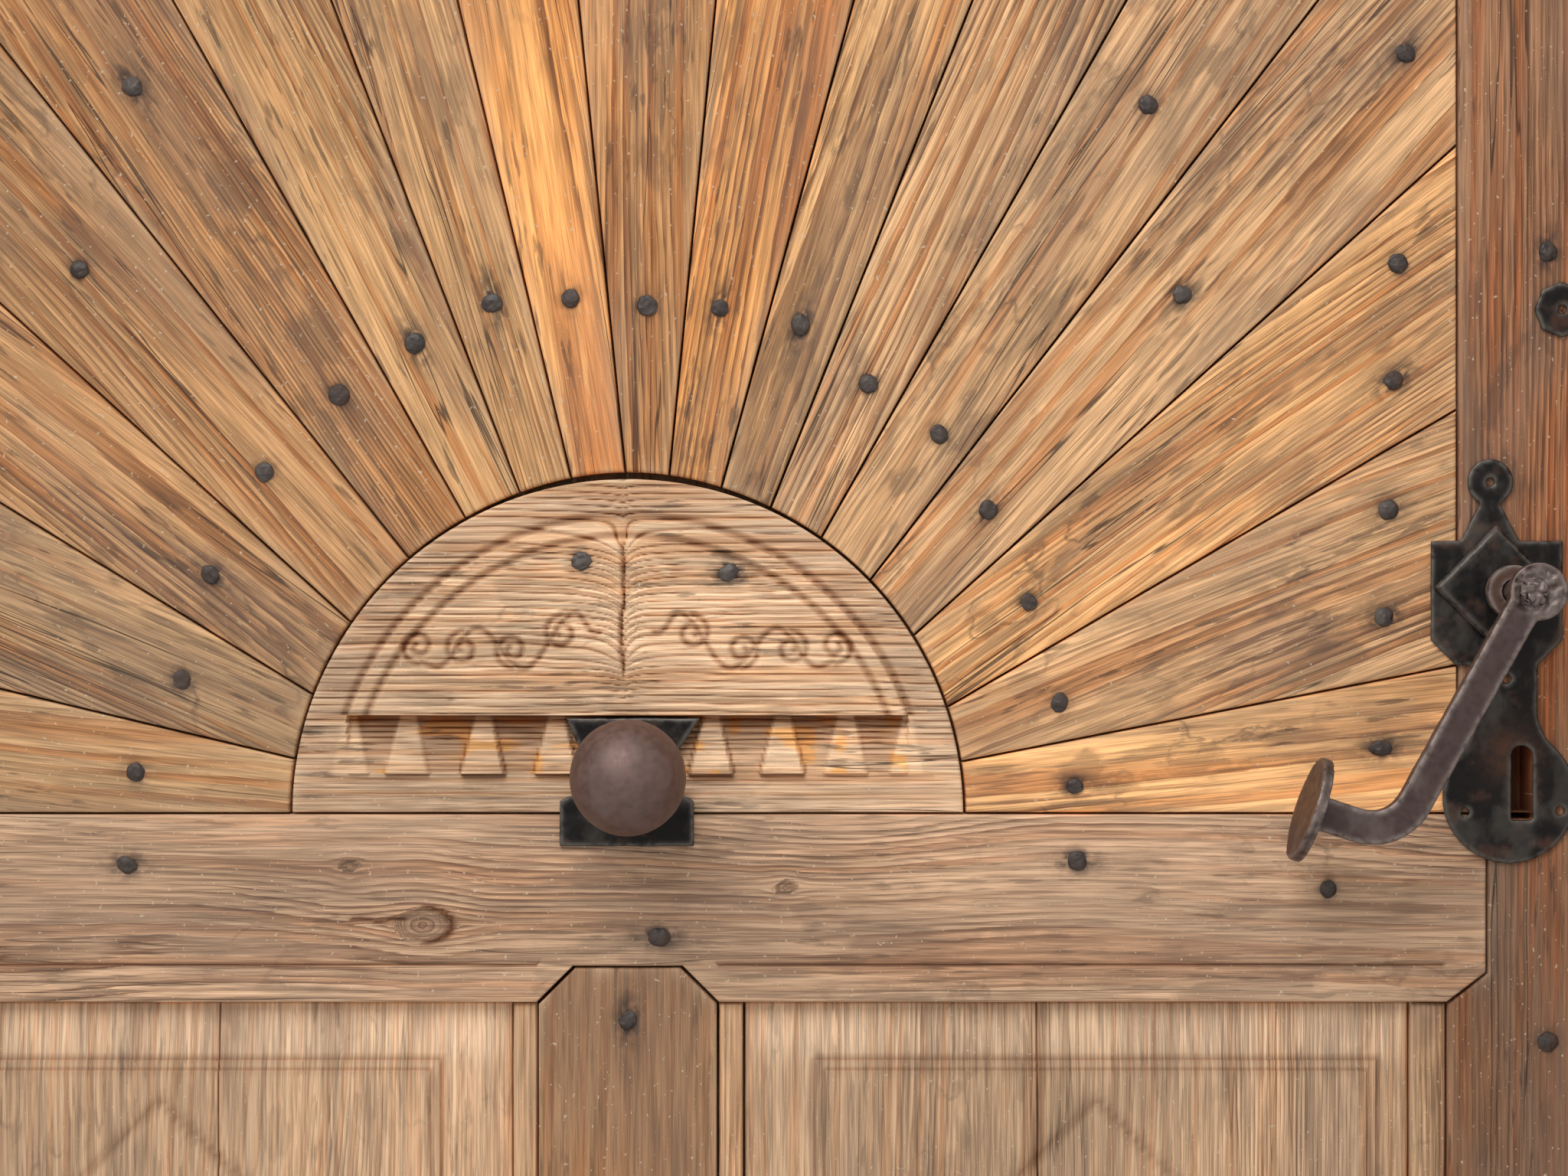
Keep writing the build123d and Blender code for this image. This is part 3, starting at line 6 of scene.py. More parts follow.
import bmesh
import bpy
import numpy as np
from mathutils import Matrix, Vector


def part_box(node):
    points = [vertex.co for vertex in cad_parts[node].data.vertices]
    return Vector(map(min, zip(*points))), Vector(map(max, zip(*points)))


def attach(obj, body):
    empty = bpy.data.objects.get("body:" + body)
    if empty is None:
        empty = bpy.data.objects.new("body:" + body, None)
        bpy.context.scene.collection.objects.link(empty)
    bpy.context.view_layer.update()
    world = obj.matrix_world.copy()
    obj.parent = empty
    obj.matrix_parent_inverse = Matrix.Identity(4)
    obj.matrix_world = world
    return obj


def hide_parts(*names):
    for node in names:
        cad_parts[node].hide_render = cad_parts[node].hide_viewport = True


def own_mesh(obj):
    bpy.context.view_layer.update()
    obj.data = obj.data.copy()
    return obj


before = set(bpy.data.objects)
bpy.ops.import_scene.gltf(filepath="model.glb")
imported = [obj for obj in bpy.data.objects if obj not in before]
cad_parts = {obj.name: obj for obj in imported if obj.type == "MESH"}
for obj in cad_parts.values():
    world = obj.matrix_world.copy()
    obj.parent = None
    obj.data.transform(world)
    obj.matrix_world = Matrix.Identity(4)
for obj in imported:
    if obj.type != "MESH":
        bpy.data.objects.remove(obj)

# Looks of an arched house door: a sunburst leaf of weathered softwood, forged
# iron fittings and a pegged timber frame. All sizes are in metres.
# X runs to the right as seen from outside, Y runs inwards, Z runs up.

LOG = logging.getLogger("door")
MM = 0.001
Colour = tuple[float, float, float, float]


def srgb(red: float, green: float, blue: float) -> Colour:
    """Turn a swatch's 0 to 255 values into the linear colour that shaders use.

    Args:
        red: Red value of the swatch.
        green: Green value of the swatch.
        blue: Blue value of the swatch.

    Returns:
        Linear red, green, blue and an alpha of 1.
    """
    parts = [value / 255 for value in (red, green, blue)]
    linear = [p / 12.92 if p <= 0.04045 else ((p + 0.055) / 1.055) ** 2.4 for p in parts]
    return (*linear, 1.0)


def value_noise(across: np.ndarray, along: np.ndarray, seed: int) -> np.ndarray:
    """Smooth noise between -1 and 1 whose lumps are one unit apart.

    Args:
        across: First coordinate of each place.
        along: Second coordinate of each place.
        seed: Chooses the pattern.

    Returns:
        One value for each place.
    """
    cell_a, cell_b = np.floor(across).astype(np.int64), np.floor(along).astype(np.int64)
    part_a, part_b = across - cell_a, along - cell_b
    ease_a, ease_b = part_a**2 * (3 - 2 * part_a), part_b**2 * (3 - 2 * part_b)

    def corner(step_a: int, step_b: int) -> np.ndarray:
        """Random value of one corner of each place's cell."""
        mixed = (cell_a + step_a) * 374761393 + (cell_b + step_b) * 668265263 + seed * 974634777
        mixed = (mixed ^ (mixed >> 13)) * 1274126177 & 0x7FFFFFFF
        return ((mixed ^ (mixed >> 16)) & 0xFFFF) / 32767.5 - 1

    low = corner(0, 0) * (1 - ease_a) + corner(1, 0) * ease_a
    high = corner(0, 1) * (1 - ease_a) + corner(1, 1) * ease_a
    return low * (1 - ease_b) + high * ease_b


def smooth_step(low: float, high: float, values: np.ndarray) -> np.ndarray:
    """Ease from 0 at low to 1 at high."""
    share = np.clip((values - low) / (high - low), 0, 1)
    return share * share * (3 - 2 * share)


def bell(distance: np.ndarray, width: float) -> np.ndarray:
    """Rounded peak: 1 where the distance is 0, falling off over the width."""
    return np.exp(-((distance / width) ** 2))


RIM_STEPS = (0.5 * MM, 1.2 * MM, 2.4 * MM)


def graded(low: float, high: float, step: float, marks: tuple[float, ...] = ()) -> np.ndarray:
    """Places from low to high that lie close together at both rims and at marked places.

    Args:
        low: First place.
        high: Last place.
        step: Widest spacing between two places.
        marks: Further places, kept where they fall between the ends.

    Returns:
        The places in rising order.
    """
    fixed = {low, high}
    for rim in RIM_STEPS:
        fixed |= {low + rim, high - rim}
    fixed.update(mark for mark in marks if low < mark < high)
    corners = sorted(fixed)
    places: list[float] = []
    for start, end in zip(corners, corners[1:]):
        count = max(1, math.ceil((end - start) / step - 1e-9))
        places.extend(np.linspace(start, end, count, endpoint=False))
    return np.array(places + [high])


def shares_of(length: float, step: float, marks: tuple[float, ...] = ()) -> np.ndarray:
    """Graded places along a length, as shares of it."""
    return graded(0, length, step, marks) / length


# Geometry of the door, read from the frame


@dataclass(frozen=True)
class Site:
    """Planes, centres and widths that several pieces share."""

    face_y: float
    layer_y: float
    back_y: float
    base_z: float
    hub_radius: float
    sun_half: float
    leaf_half: float
    panel_half: float
    springing_z: float
    leaf_bottom_z: float
    rail_bottom_z: float
    bottom_rail_z: float
    gap: float = 1.2 * MM

    @classmethod
    def from_frame(cls) -> "Site":
        """Read the shared places from the boxes of the frame's nodes."""
        ray_low, ray_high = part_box("ray_01")
        rail_low, rail_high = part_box("mid_rail")
        foot_low, foot_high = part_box("bottom_rail")
        return cls(
            face_y=ray_low.y, layer_y=ray_high.y, back_y=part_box("back_plank_2")[1].y,
            base_z=rail_high.z, hub_radius=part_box("hub")[1].x,
            sun_half=ray_high.x + cls.gap, leaf_half=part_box("stile_right")[1].x,
            panel_half=foot_high.x, springing_z=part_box("leaf_arch_right")[0].z,
            leaf_bottom_z=foot_low.z, rail_bottom_z=rail_low.z, bottom_rail_z=foot_high.z,
        )


SITE = Site.from_frame()


# Objects, attributes and materials


def placed(name: str, data: bpy.types.ID) -> bpy.types.Object:
    """Put an object with this mesh, lamp or camera in the scene."""
    made = bpy.data.objects.new(name, data)
    bpy.context.scene.collection.objects.link(made)
    return made


def paint(mesh: bpy.types.Mesh, **layers: np.ndarray) -> None:
    """Write values on a mesh's vertices for its material to read.

    Args:
        mesh: The mesh.
        layers: By name, one number, three coordinates or four colour parts for each vertex.
    """
    kinds = {1: ("FLOAT", "value"), 3: ("FLOAT_VECTOR", "vector"), 4: ("FLOAT_COLOR", "color")}
    for label, values in layers.items():
        kind, key = kinds[values.shape[1] if values.ndim > 1 else 1]
        layer = mesh.attributes.new(label, kind, "POINT")
        layer.data.foreach_set(key, np.ascontiguousarray(values, np.float32).ravel())


def clothe(mesh: bpy.types.Mesh, slot: str, crisp: float | None = None) -> None:
    """Give a mesh its only material and smooth shading.

    Args:
        mesh: The mesh.
        slot: Name of the finish.
        crisp: Edges that turn more than this, in degrees, stay sharp.
    """
    mesh.materials.clear()
    mesh.materials.append(MATERIALS[slot])
    mesh.shade_smooth()
    if crisp:
        mesh.set_sharp_from_angle(angle=math.radians(crisp))


def plain_mesh(piece: bpy.types.Object) -> bpy.types.Mesh:
    """Turn a piece's modifiers into its own mesh.

    Args:
        piece: The piece, whose modifiers go.

    Returns:
        Its new mesh.
    """
    bpy.context.view_layer.update()
    mesh = bpy.data.meshes.new_from_object(piece.evaluated_get(bpy.context.evaluated_depsgraph_get()))
    piece.modifiers.clear()
    piece.data = mesh
    mesh.name = piece.name
    return mesh


def loose_solids(node: str) -> list[np.ndarray]:
    """Corner points of each separate solid in a CAD node.

    Args:
        node: Name of the node.

    Returns:
        One array of points for each solid, in the order in which they are found.
    """
    mesh = bmesh.new()
    mesh.from_mesh(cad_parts[node].data)
    bmesh.ops.remove_doubles(mesh, verts=mesh.verts, dist=0.005 * MM)
    left = set(mesh.verts)
    solids = []
    for start in list(mesh.verts):
        if start not in left:
            continue
        left.discard(start)
        found, queue = [], [start]
        while queue:
            vertex = queue.pop()
            found.append(tuple(vertex.co))
            for edge in vertex.link_edges:
                other = edge.other_vert(vertex)
                if other in left:
                    left.discard(other)
                    queue.append(other)
        solids.append(np.array(found))
    mesh.free()
    return solids


NAIL_PLACES = [
    (float(solid[:, 0].mean()), float(solid[:, 2].mean())) for solid in loose_solids("wood_nails")
]


# Node trees


Socket = bpy.types.NodeSocket
Feed = Socket | float | tuple


class Lumps(Enum):
    """Noise of each kind of mark: lumps in a metre across and along the grain, and octaves."""

    ring_wander = (26, 2.2, 2)
    ring_ripple = (150, 9, 1)
    hair = (900, 60, 0)
    ring_strength = (19, 3.2, 0)
    fibres = (1500, 36, 1)
    coarse_fibres = (420, 14, 2)
    dashes = (330, 36, 3)
    dash_zones = (34, 9, 0)
    checks = (75, 1.8, 3)
    check_zones = (17, 3.5, 0)
    board_shade = (9, 2.6, 4)
    greying = (24, 6, 5)
    blots = (60, 22, 5)
    strands = (230, 18, 3)
    smears = (44, 19, 5)
    smear_zones = (16, 8, 2)
    stain_zones = (11, 4, 3)
    bleaching = (90, 8, 4)
    specks = (520, 380, 2)
    nail_stain = (260, 160, 3)
    blows = (120, 120, 1)
    grit = (1900, 1900, 1)
    mottle = (230, 230, 3)
    rust = (70, 70, 5)


class Bench:
    """Short ways to add and join the nodes of one tree."""

    def __init__(self, tree: bpy.types.NodeTree) -> None:
        """Work on a node tree."""
        self.tree = tree

    def add(self, kind: str, feeds: dict | None = None, **settings) -> bpy.types.Node:
        """Add a node.

        Args:
            kind: The node's type name.
            feeds: What goes into each input, by the input's name or number.
            settings: Values for the node's own settings.

        Returns:
            The new node.
        """
        node = self.tree.nodes.new(kind)
        for name, value in settings.items():
            setattr(node, name, value)
        for key, feed in (feeds or {}).items():
            self.feed(node.inputs[key], feed)
        return node

    def feed(self, socket: Socket, feed: Feed) -> None:
        """Give an input a link or a plain value."""
        if isinstance(feed, Socket):
            self.tree.links.new(feed, socket)
        else:
            socket.default_value = feed

    def math(self, operation: str, *values: Feed, clamp: bool = False) -> Socket:
        """Combine numbers with a Math node."""
        node = self.add("ShaderNodeMath", dict(enumerate(values)), operation=operation)
        node.use_clamp = clamp
        return node.outputs[0]

    def vector(self, operation: str, *values: Feed) -> Socket:
        """Combine vectors with a Vector Math node."""
        return self.add("ShaderNodeVectorMath", dict(enumerate(values)), operation=operation).outputs[0]

    def noise(self, place: Feed, stretch: tuple[float, float, float], detail: float) -> Socket:
        """Noise from 0 to 1, stretched by a number of lumps in each metre."""
        scaled = self.vector("MULTIPLY", place, stretch)
        feeds = {"Vector": scaled, "Scale": 1.0, "Detail": detail}
        return self.add("ShaderNodeTexNoise", feeds).outputs[0]

    def lumps(self, place: Feed, kind: Lumps) -> Socket:
        """Noise drawn out along the grain."""
        across, along, detail = kind.value
        return self.noise(place, (across, along, across), detail)

    def times(self, first: Feed, second: Feed, clamp: bool = False) -> Socket:
        """Multiply two numbers."""
        return self.math("MULTIPLY", first, second, clamp=clamp)

    def muladd(self, first: Feed, second: Feed, third: Feed) -> Socket:
        """Multiply two numbers and add a third."""
        return self.math("MULTIPLY_ADD", first, second, third)

    def apart(self, first: Feed, second: Feed) -> Socket:
        """How far apart two numbers are."""
        return self.math("ABSOLUTE", self.math("SUBTRACT", first, second))

    def most(self, first: Feed, *others: Feed) -> Socket:
        """Largest of some numbers."""
        for other in others:
            first = self.math("MAXIMUM", first, other)
        return first

    def attribute(self, name: str, output: str) -> Socket:
        """Read one of a mesh's attributes."""
        return self.add("ShaderNodeAttribute", attribute_name=name).outputs[output]

    def patches(self, place: Feed, kind: Lumps, *span: Feed) -> Socket:
        """Noise drawn out along the grain, with its range eased into another one."""
        return self.remap(self.lumps(place, kind), *span)

    def shaded(self, colour: Feed, value: Socket) -> Socket:
        """Multiply a colour by a plain value."""
        plain = self.add("ShaderNodeCombineColor", {0: value, 1: value, 2: value}).outputs[0]
        return self.blend(1.0, colour, plain, "MULTIPLY")

    def remap(self, value: Feed, low: float, high: float, bottom: Feed = 0.0,
              top: Feed = 1.0) -> Socket:
        """Ease a value's range from low to high into the range from bottom to top."""
        feeds = {0: value, 1: low, 2: high, 3: bottom, 4: top}
        return self.add("ShaderNodeMapRange", feeds, interpolation_type="SMOOTHSTEP").outputs[0]

    def coat(self, surface: bpy.types.bpy_prop_collection, height: Feed, relief: float,
             feeds: dict[str, Feed]) -> None:
        """Feed a shader's inputs, and raise its surface by the height times the relief."""
        bump = self.add("ShaderNodeBump", {"Height": height, "Distance": relief, "Strength": 1.0})
        for label, feed in {**feeds, "Normal": bump.outputs[0]}.items():
            self.feed(surface[label], feed)

    def blend(self, share: Feed, first: Feed, second: Feed, mode: str = "MIX") -> Socket:
        """Mix two colours."""
        node = self.add("ShaderNodeMix", data_type="RGBA", blend_type=mode)
        for name, feed in (("Factor_Float", share), ("A_Color", first), ("B_Color", second)):
            self.feed(next(s for s in node.inputs if s.identifier == name), feed)
        return next(s for s in node.outputs if s.identifier == "Result_Color")


def new_material(name: str) -> tuple[bpy.types.Material, Bench, bpy.types.bpy_prop_collection]:
    """Make a material.

    Args:
        name: Its name.

    Returns:
        The material, a bench for its nodes and its shader's inputs.
    """
    material = bpy.data.materials.new(name)
    material.use_nodes = True
    return material, Bench(material.node_tree), material.node_tree.nodes["Principled BSDF"].inputs


class GroupRecipe:
    """A node group with named inputs and outputs, built once and placed in many materials."""

    def __init__(self, name: str, inputs: dict[str, str], outputs: dict[str, str],
                 kind: str = "ShaderNodeTree") -> None:
        """Make the empty group.

        Args:
            name: The group's name.
            inputs: Socket type of each named input.
            outputs: Socket type of each named output.
            kind: Type of node tree.
        """
        self.tree = bpy.data.node_groups.new(name, kind)
        for label, socket in inputs.items():
            self.tree.interface.new_socket(label, in_out="INPUT", socket_type=socket)
        for label, socket in outputs.items():
            self.tree.interface.new_socket(label, in_out="OUTPUT", socket_type=socket)
        self.bench = Bench(self.tree)
        self.inputs = self.bench.add("NodeGroupInput").outputs
        self.results = self.bench.add("NodeGroupOutput").inputs

    def give(self, **feeds: Feed) -> None:
        """Join values to the group's outputs."""
        for label, feed in feeds.items():
            self.bench.feed(self.results[label], feed)


FLOAT, VECTOR, COLOUR = "NodeSocketFloat", "NodeSocketVector", "NodeSocketColor"


def softwood_rings() -> bpy.types.NodeTree:
    """Year rings, fibres, dark dashes and checks of weathered softwood.

    Returns:
        The node group. Ring is counted in rings, and Place is in metres: across, along, deep.
    """
    recipe = GroupRecipe(
        "softwood_rings", {"Ring": FLOAT, "Place": VECTOR, "Dashes": FLOAT},
        dict.fromkeys(("Late", "Hue", "Fibre", "Dash", "Check", "Height"), FLOAT))
    bench, place = recipe.bench, recipe.inputs["Place"]
    slow = bench.lumps(place, Lumps.ring_wander)
    fine = bench.lumps(place, Lumps.ring_ripple)
    hair = bench.lumps(place, Lumps.hair)
    ring = bench.muladd(slow, 1.5, recipe.inputs["Ring"])
    ring = bench.muladd(fine, 0.6, ring)
    ring = bench.muladd(hair, 0.3, ring)
    part = bench.math("FRACT", ring)
    along = bench.add("ShaderNodeSeparateXYZ", {0: place}).outputs[1]

    def of_ring(pace: float, shift: float) -> Socket:
        """A slowly changing value that each ring has for itself."""
        feeds = {0: bench.math("FLOOR", ring), 1: bench.times(along, pace), 2: shift}
        own = bench.add("ShaderNodeCombineXYZ", feeds).outputs[0]
        return bench.noise(own, (0.73, 1, 1), 0)

    band = bench.times(bench.remap(part, 0.25, 0.9), bench.remap(part, 0.9, 1.0, 1.0, 0.0))
    patchy = bench.patches(place, Lumps.ring_strength, 0.37, 0.63, 0.35, 1.1)
    ridge = bench.times(band, patchy)
    band = bench.times(band, bench.remap(of_ring(5.0, 0.0), 0.23, 0.63, 0.15, 1.0))
    thin = bench.remap(bench.apart(part, 0.86), 0.02, 0.14, 1.0, 0.0)
    thin = bench.times(thin, bench.remap(of_ring(14.0, 4.0), 0.39, 0.63))
    twin = bench.math("FRACT", bench.times(ring, 2.37))
    twin = bench.remap(bench.apart(twin, 0.5), 0.03, 0.2, 1.0, 0.0)
    twin = bench.times(twin, bench.remap(of_ring(9.0, 9.0), 0.47, 0.66, 0.0, 0.6))
    late = bench.most(band, thin, twin)
    late = bench.times(late, patchy)
    fibre = bench.lumps(place, Lumps.fibres)
    coarse = bench.lumps(place, Lumps.coarse_fibres)
    fibre = bench.muladd(coarse, 0.5, bench.times(fibre, 0.5))
    dash = bench.patches(place, Lumps.dashes, 0.58, 0.66)
    zone = bench.patches(place, Lumps.dash_zones, 0.45, 0.63)
    dash = bench.times(bench.times(dash, zone), recipe.inputs["Dashes"])
    split = bench.apart(bench.lumps(place, Lumps.checks), 0.5)
    check = bench.remap(split, 0.001, 0.008, 1.0, 0.0)
    check = bench.times(check, bench.patches(place, Lumps.check_zones, 0.53, 0.63))
    check = bench.times(check, recipe.inputs["Dashes"])
    height = bench.muladd(ridge, 0.45, bench.times(fibre, 1.1))
    height = bench.muladd(check, -1.3, height)
    recipe.give(Late=late, Hue=of_ring(3.0, 17.0), Fibre=fibre, Dash=dash, Check=check, Height=height)
    return recipe.tree


def board_weather() -> bpy.types.NodeTree:
    """Colour of a board from its grain, its wear marks, patches of stain and bleaching, and painted shade in
    its hollows.

    Returns:
        The node group, which puts out a colour and a roughness.
    """
    recipe = GroupRecipe(
        "board_weather",
        {**dict.fromkeys(("Early", "Late Wood", "Warm", "Grey", "Stain", "Tint"), COLOUR), "Place": VECTOR,
         **dict.fromkeys(("Late", "Hue", "Fibre", "Dash", "Check", "Rim", "Halo", "Painted Shade", "Knot",
                          "Greying", "Staining", "Bleaching"), FLOAT)},
        {"Colour": COLOUR, "Roughness": FLOAT})
    bench, inputs = recipe.bench, recipe.inputs
    place = inputs["Place"]

    early = bench.blend(bench.remap(inputs["Hue"], 0.45, 0.69, 0.0, 0.85), inputs["Early"], inputs["Warm"])
    colour = bench.blend(bench.times(inputs["Late"], 0.88), early, inputs["Late Wood"])
    colour = bench.shaded(colour, bench.remap(inputs["Fibre"], 0.34, 0.66, 0.66, 1.28))
    colour = bench.blend(1.0, colour, inputs["Tint"], "MULTIPLY")
    colour = bench.shaded(colour, bench.patches(place, Lumps.board_shade, 0.3, 0.7, 0.78, 1.2))
    grey = bench.times(bench.patches(place, Lumps.greying, 0.44, 0.64), inputs["Greying"])
    colour = bench.blend(grey, colour, inputs["Grey"])
    blot = bench.patches(place, Lumps.blots, 0.55, 0.63, 0.0, 0.6)
    strand = bench.patches(place, Lumps.strands, 0.53, 0.62, 0.0, 0.6)
    smear = bench.apart(bench.lumps(place, Lumps.smears), 0.5)
    smear = bench.remap(smear, 0.0, 0.034, 0.7, 0.0)
    smear = bench.times(smear, bench.patches(place, Lumps.smear_zones, 0.5, 0.6))
    stain = bench.most(blot, strand, smear)
    stain = bench.times(stain, inputs["Staining"])
    patch = bench.patches(place, Lumps.stain_zones, 0.42, 0.62, 0.15, 1.0)
    colour = bench.blend(bench.times(stain, patch), colour, inputs["Stain"])
    bleach = bench.times(inputs["Rim"], bench.patches(place, Lumps.bleaching, 0.4, 0.62))
    bleach = bench.times(bleach, inputs["Bleaching"])
    colour = bench.blend(bleach, colour, bench.blend(0.35, inputs["Early"], (0.9, 0.72, 0.5, 1.0)))
    ring = bench.blend(0.55, inputs["Late Wood"], inputs["Stain"])
    colour = bench.blend(bench.times(inputs["Knot"], 0.45), colour, ring)
    dark = bench.most(bench.times(inputs["Dash"], 0.7), inputs["Check"])
    colour = bench.blend(dark, colour, bench.blend(0.5, inputs["Stain"], (0.02, 0.014, 0.01, 1.0)))
    speck = bench.patches(place, Lumps.specks, 0.68, 0.74, 0.0, 0.7)
    colour = bench.blend(speck, colour, (0.75, 0.62, 0.45, 1.0))
    ragged = bench.patches(place, Lumps.nail_stain, 0.36, 0.6, 0.35, 1.0)
    halo = bench.times(inputs["Halo"], ragged, clamp=True)
    colour = bench.blend(halo, colour, (0.04, 0.031, 0.03, 1.0))
    # Painted shade: hollows, grooves and recesses are darkened towards warm brown.
    recipe.give(Colour=bench.blend(inputs["Painted Shade"], colour, (0.26, 0.15, 0.09, 1.0), "MULTIPLY"),
                Roughness=bench.remap(inputs["Late"], 0.0, 1.0, 0.8, 0.58))
    return recipe.tree


def forged_surface() -> bpy.types.NodeTree:
    """Hammered iron: scale, rust in patches and bare worn edges.

    Returns:
        The node group, which puts out a colour, a roughness, a metal share and a height.
    """
    recipe = GroupRecipe(
        "forged_surface",
        {"Place": VECTOR, "Scale Colour": COLOUR, "Worn Colour": COLOUR, "Rust Colour": COLOUR,
         "Edge": FLOAT, "Rusted": FLOAT, "Rust": FLOAT, "Mottle": FLOAT, "Metal": FLOAT},
        {"Colour": COLOUR, "Roughness": FLOAT, "Metal": FLOAT, "Height": FLOAT})
    bench, inputs = recipe.bench, recipe.inputs
    place = inputs["Place"]
    blows = bench.lumps(place, Lumps.blows)
    grit = bench.lumps(place, Lumps.grit)
    mottle = bench.lumps(place, Lumps.mottle)
    shade = bench.muladd(bench.remap(mottle, 0.3, 0.7, -0.5, 0.5), inputs["Mottle"], 1.0)
    colour = bench.shaded(inputs["Scale Colour"], shade)
    rust = bench.times(bench.patches(place, Lumps.rust, 0.5, 0.68), inputs["Rust"])
    spots = bench.times(inputs["Rusted"], bench.remap(mottle, 0.3, 0.6, 0.45, 1.0))
    rust = bench.most(rust, spots)
    colour = bench.blend(rust, colour, inputs["Rust Colour"])
    bare = bench.remap(bench.noise(place, (52, 52, 38), 4), 0.5, 0.66, 0.0, 0.75)
    bare = bench.times(bare, inputs["Mottle"])
    colour = bench.blend(bare, colour, inputs["Worn Colour"])
    worn = bench.times(inputs["Edge"], bench.remap(mottle, 0.3, 0.6, 0.25, 1.0), clamp=True)
    colour = bench.blend(worn, colour, inputs["Worn Colour"])
    rough = bench.muladd(grit, 0.25, bench.remap(mottle, 0.3, 0.7, 0.3, 0.5))
    rough = bench.muladd(rust, 0.3, rough)
    rough = bench.muladd(worn, -0.12, rough)
    metal = bench.math("SUBTRACT", inputs["Metal"], bench.times(rust, 0.8), clamp=True)
    height = bench.muladd(blows, 1.0, bench.times(mottle, 0.35))
    height = bench.muladd(grit, 0.12, height)
    recipe.give(Colour=colour, Roughness=rough, Metal=metal, Height=height)
    return recipe.tree


GROUPS = {recipe.__name__: recipe() for recipe in (softwood_rings, board_weather, forged_surface)}


@dataclass(frozen=True)
class WoodFinish:
    """Weathered bare softwood."""

    name: str
    early: Colour
    late: Colour
    warm: Colour
    grey: Colour = srgb(142, 120, 104)
    stain: Colour = srgb(84, 68, 60)
    greying: float = 0.35
    staining: float = 0.75
    bleaching: float = 0.5
    dashes: float = 0.8
    relief: float = 0.45 * MM

    def build(self) -> bpy.types.Material:
        """Make the material.

        Returns:
            The material, which reads the board's own grain attributes.
        """
        material, bench, surface = new_material(self.name)
        place = bench.attribute("grain", "Vector")
        # marks holds rim bleaching, nail stain, painted shade and knots in its four parts.
        marks = bench.add("ShaderNodeAttribute", attribute_name="marks").outputs
        parts = bench.add("ShaderNodeSeparateColor", {0: marks["Color"]}).outputs
        feeds = {"Ring": bench.attribute("ring", "Fac"), "Place": place, "Dashes": self.dashes}
        rings = bench.add("ShaderNodeGroup", feeds, node_tree=GROUPS["softwood_rings"]).outputs
        feeds = {label: rings[label] for label in ("Late", "Hue", "Fibre", "Dash", "Check")}
        feeds |= {
            "Early": self.early, "Late Wood": self.late, "Warm": self.warm, "Grey": self.grey,
            "Stain": self.stain, "Tint": bench.attribute("tint", "Color"), "Place": place,
            "Rim": parts[0], "Halo": parts[1], "Painted Shade": parts[2], "Knot": marks["Alpha"],
            "Greying": self.greying, "Staining": self.staining, "Bleaching": self.bleaching,
        }
        weather = bench.add("ShaderNodeGroup", feeds, node_tree=GROUPS["board_weather"]).outputs
        feeds = {"Base Color": weather["Colour"], "Roughness": weather["Roughness"],
                 "Specular IOR Level": 0.3}
        bench.coat(surface, rings["Height"], self.relief, feeds)
        return material


@dataclass(frozen=True)
class IronFinish:
    """Forged iron with scale, wear and rust."""

    name: str
    scale: Colour
    worn: Colour
    rust: Colour = srgb(92, 58, 38)
    rusting: float = 0.35
    relief: float = 0.5 * MM
    mottle: float = 0.8
    metal: float = 0.75

    def build(self) -> bpy.types.Material:
        """Make the material.

        Returns:
            The material, which reads Object coordinates and the piece's edge attribute.
        """
        material, bench, surface = new_material(self.name)
        feeds = {
            "Place": bench.add("ShaderNodeTexCoord").outputs["Object"],
            "Edge": bench.attribute("edge", "Fac"), "Rusted": bench.attribute("rusted", "Fac"),
            "Scale Colour": self.scale,
            "Worn Colour": self.worn, "Rust Colour": self.rust, "Rust": self.rusting,
            "Mottle": self.mottle, "Metal": self.metal,
        }
        forged = bench.add("ShaderNodeGroup", feeds, node_tree=GROUPS["forged_surface"]).outputs
        feeds = {"Base Color": forged["Colour"], "Roughness": forged["Roughness"],
                 "Metallic": forged["Metal"]}
        bench.coat(surface, forged["Height"], self.relief, feeds)
        return material


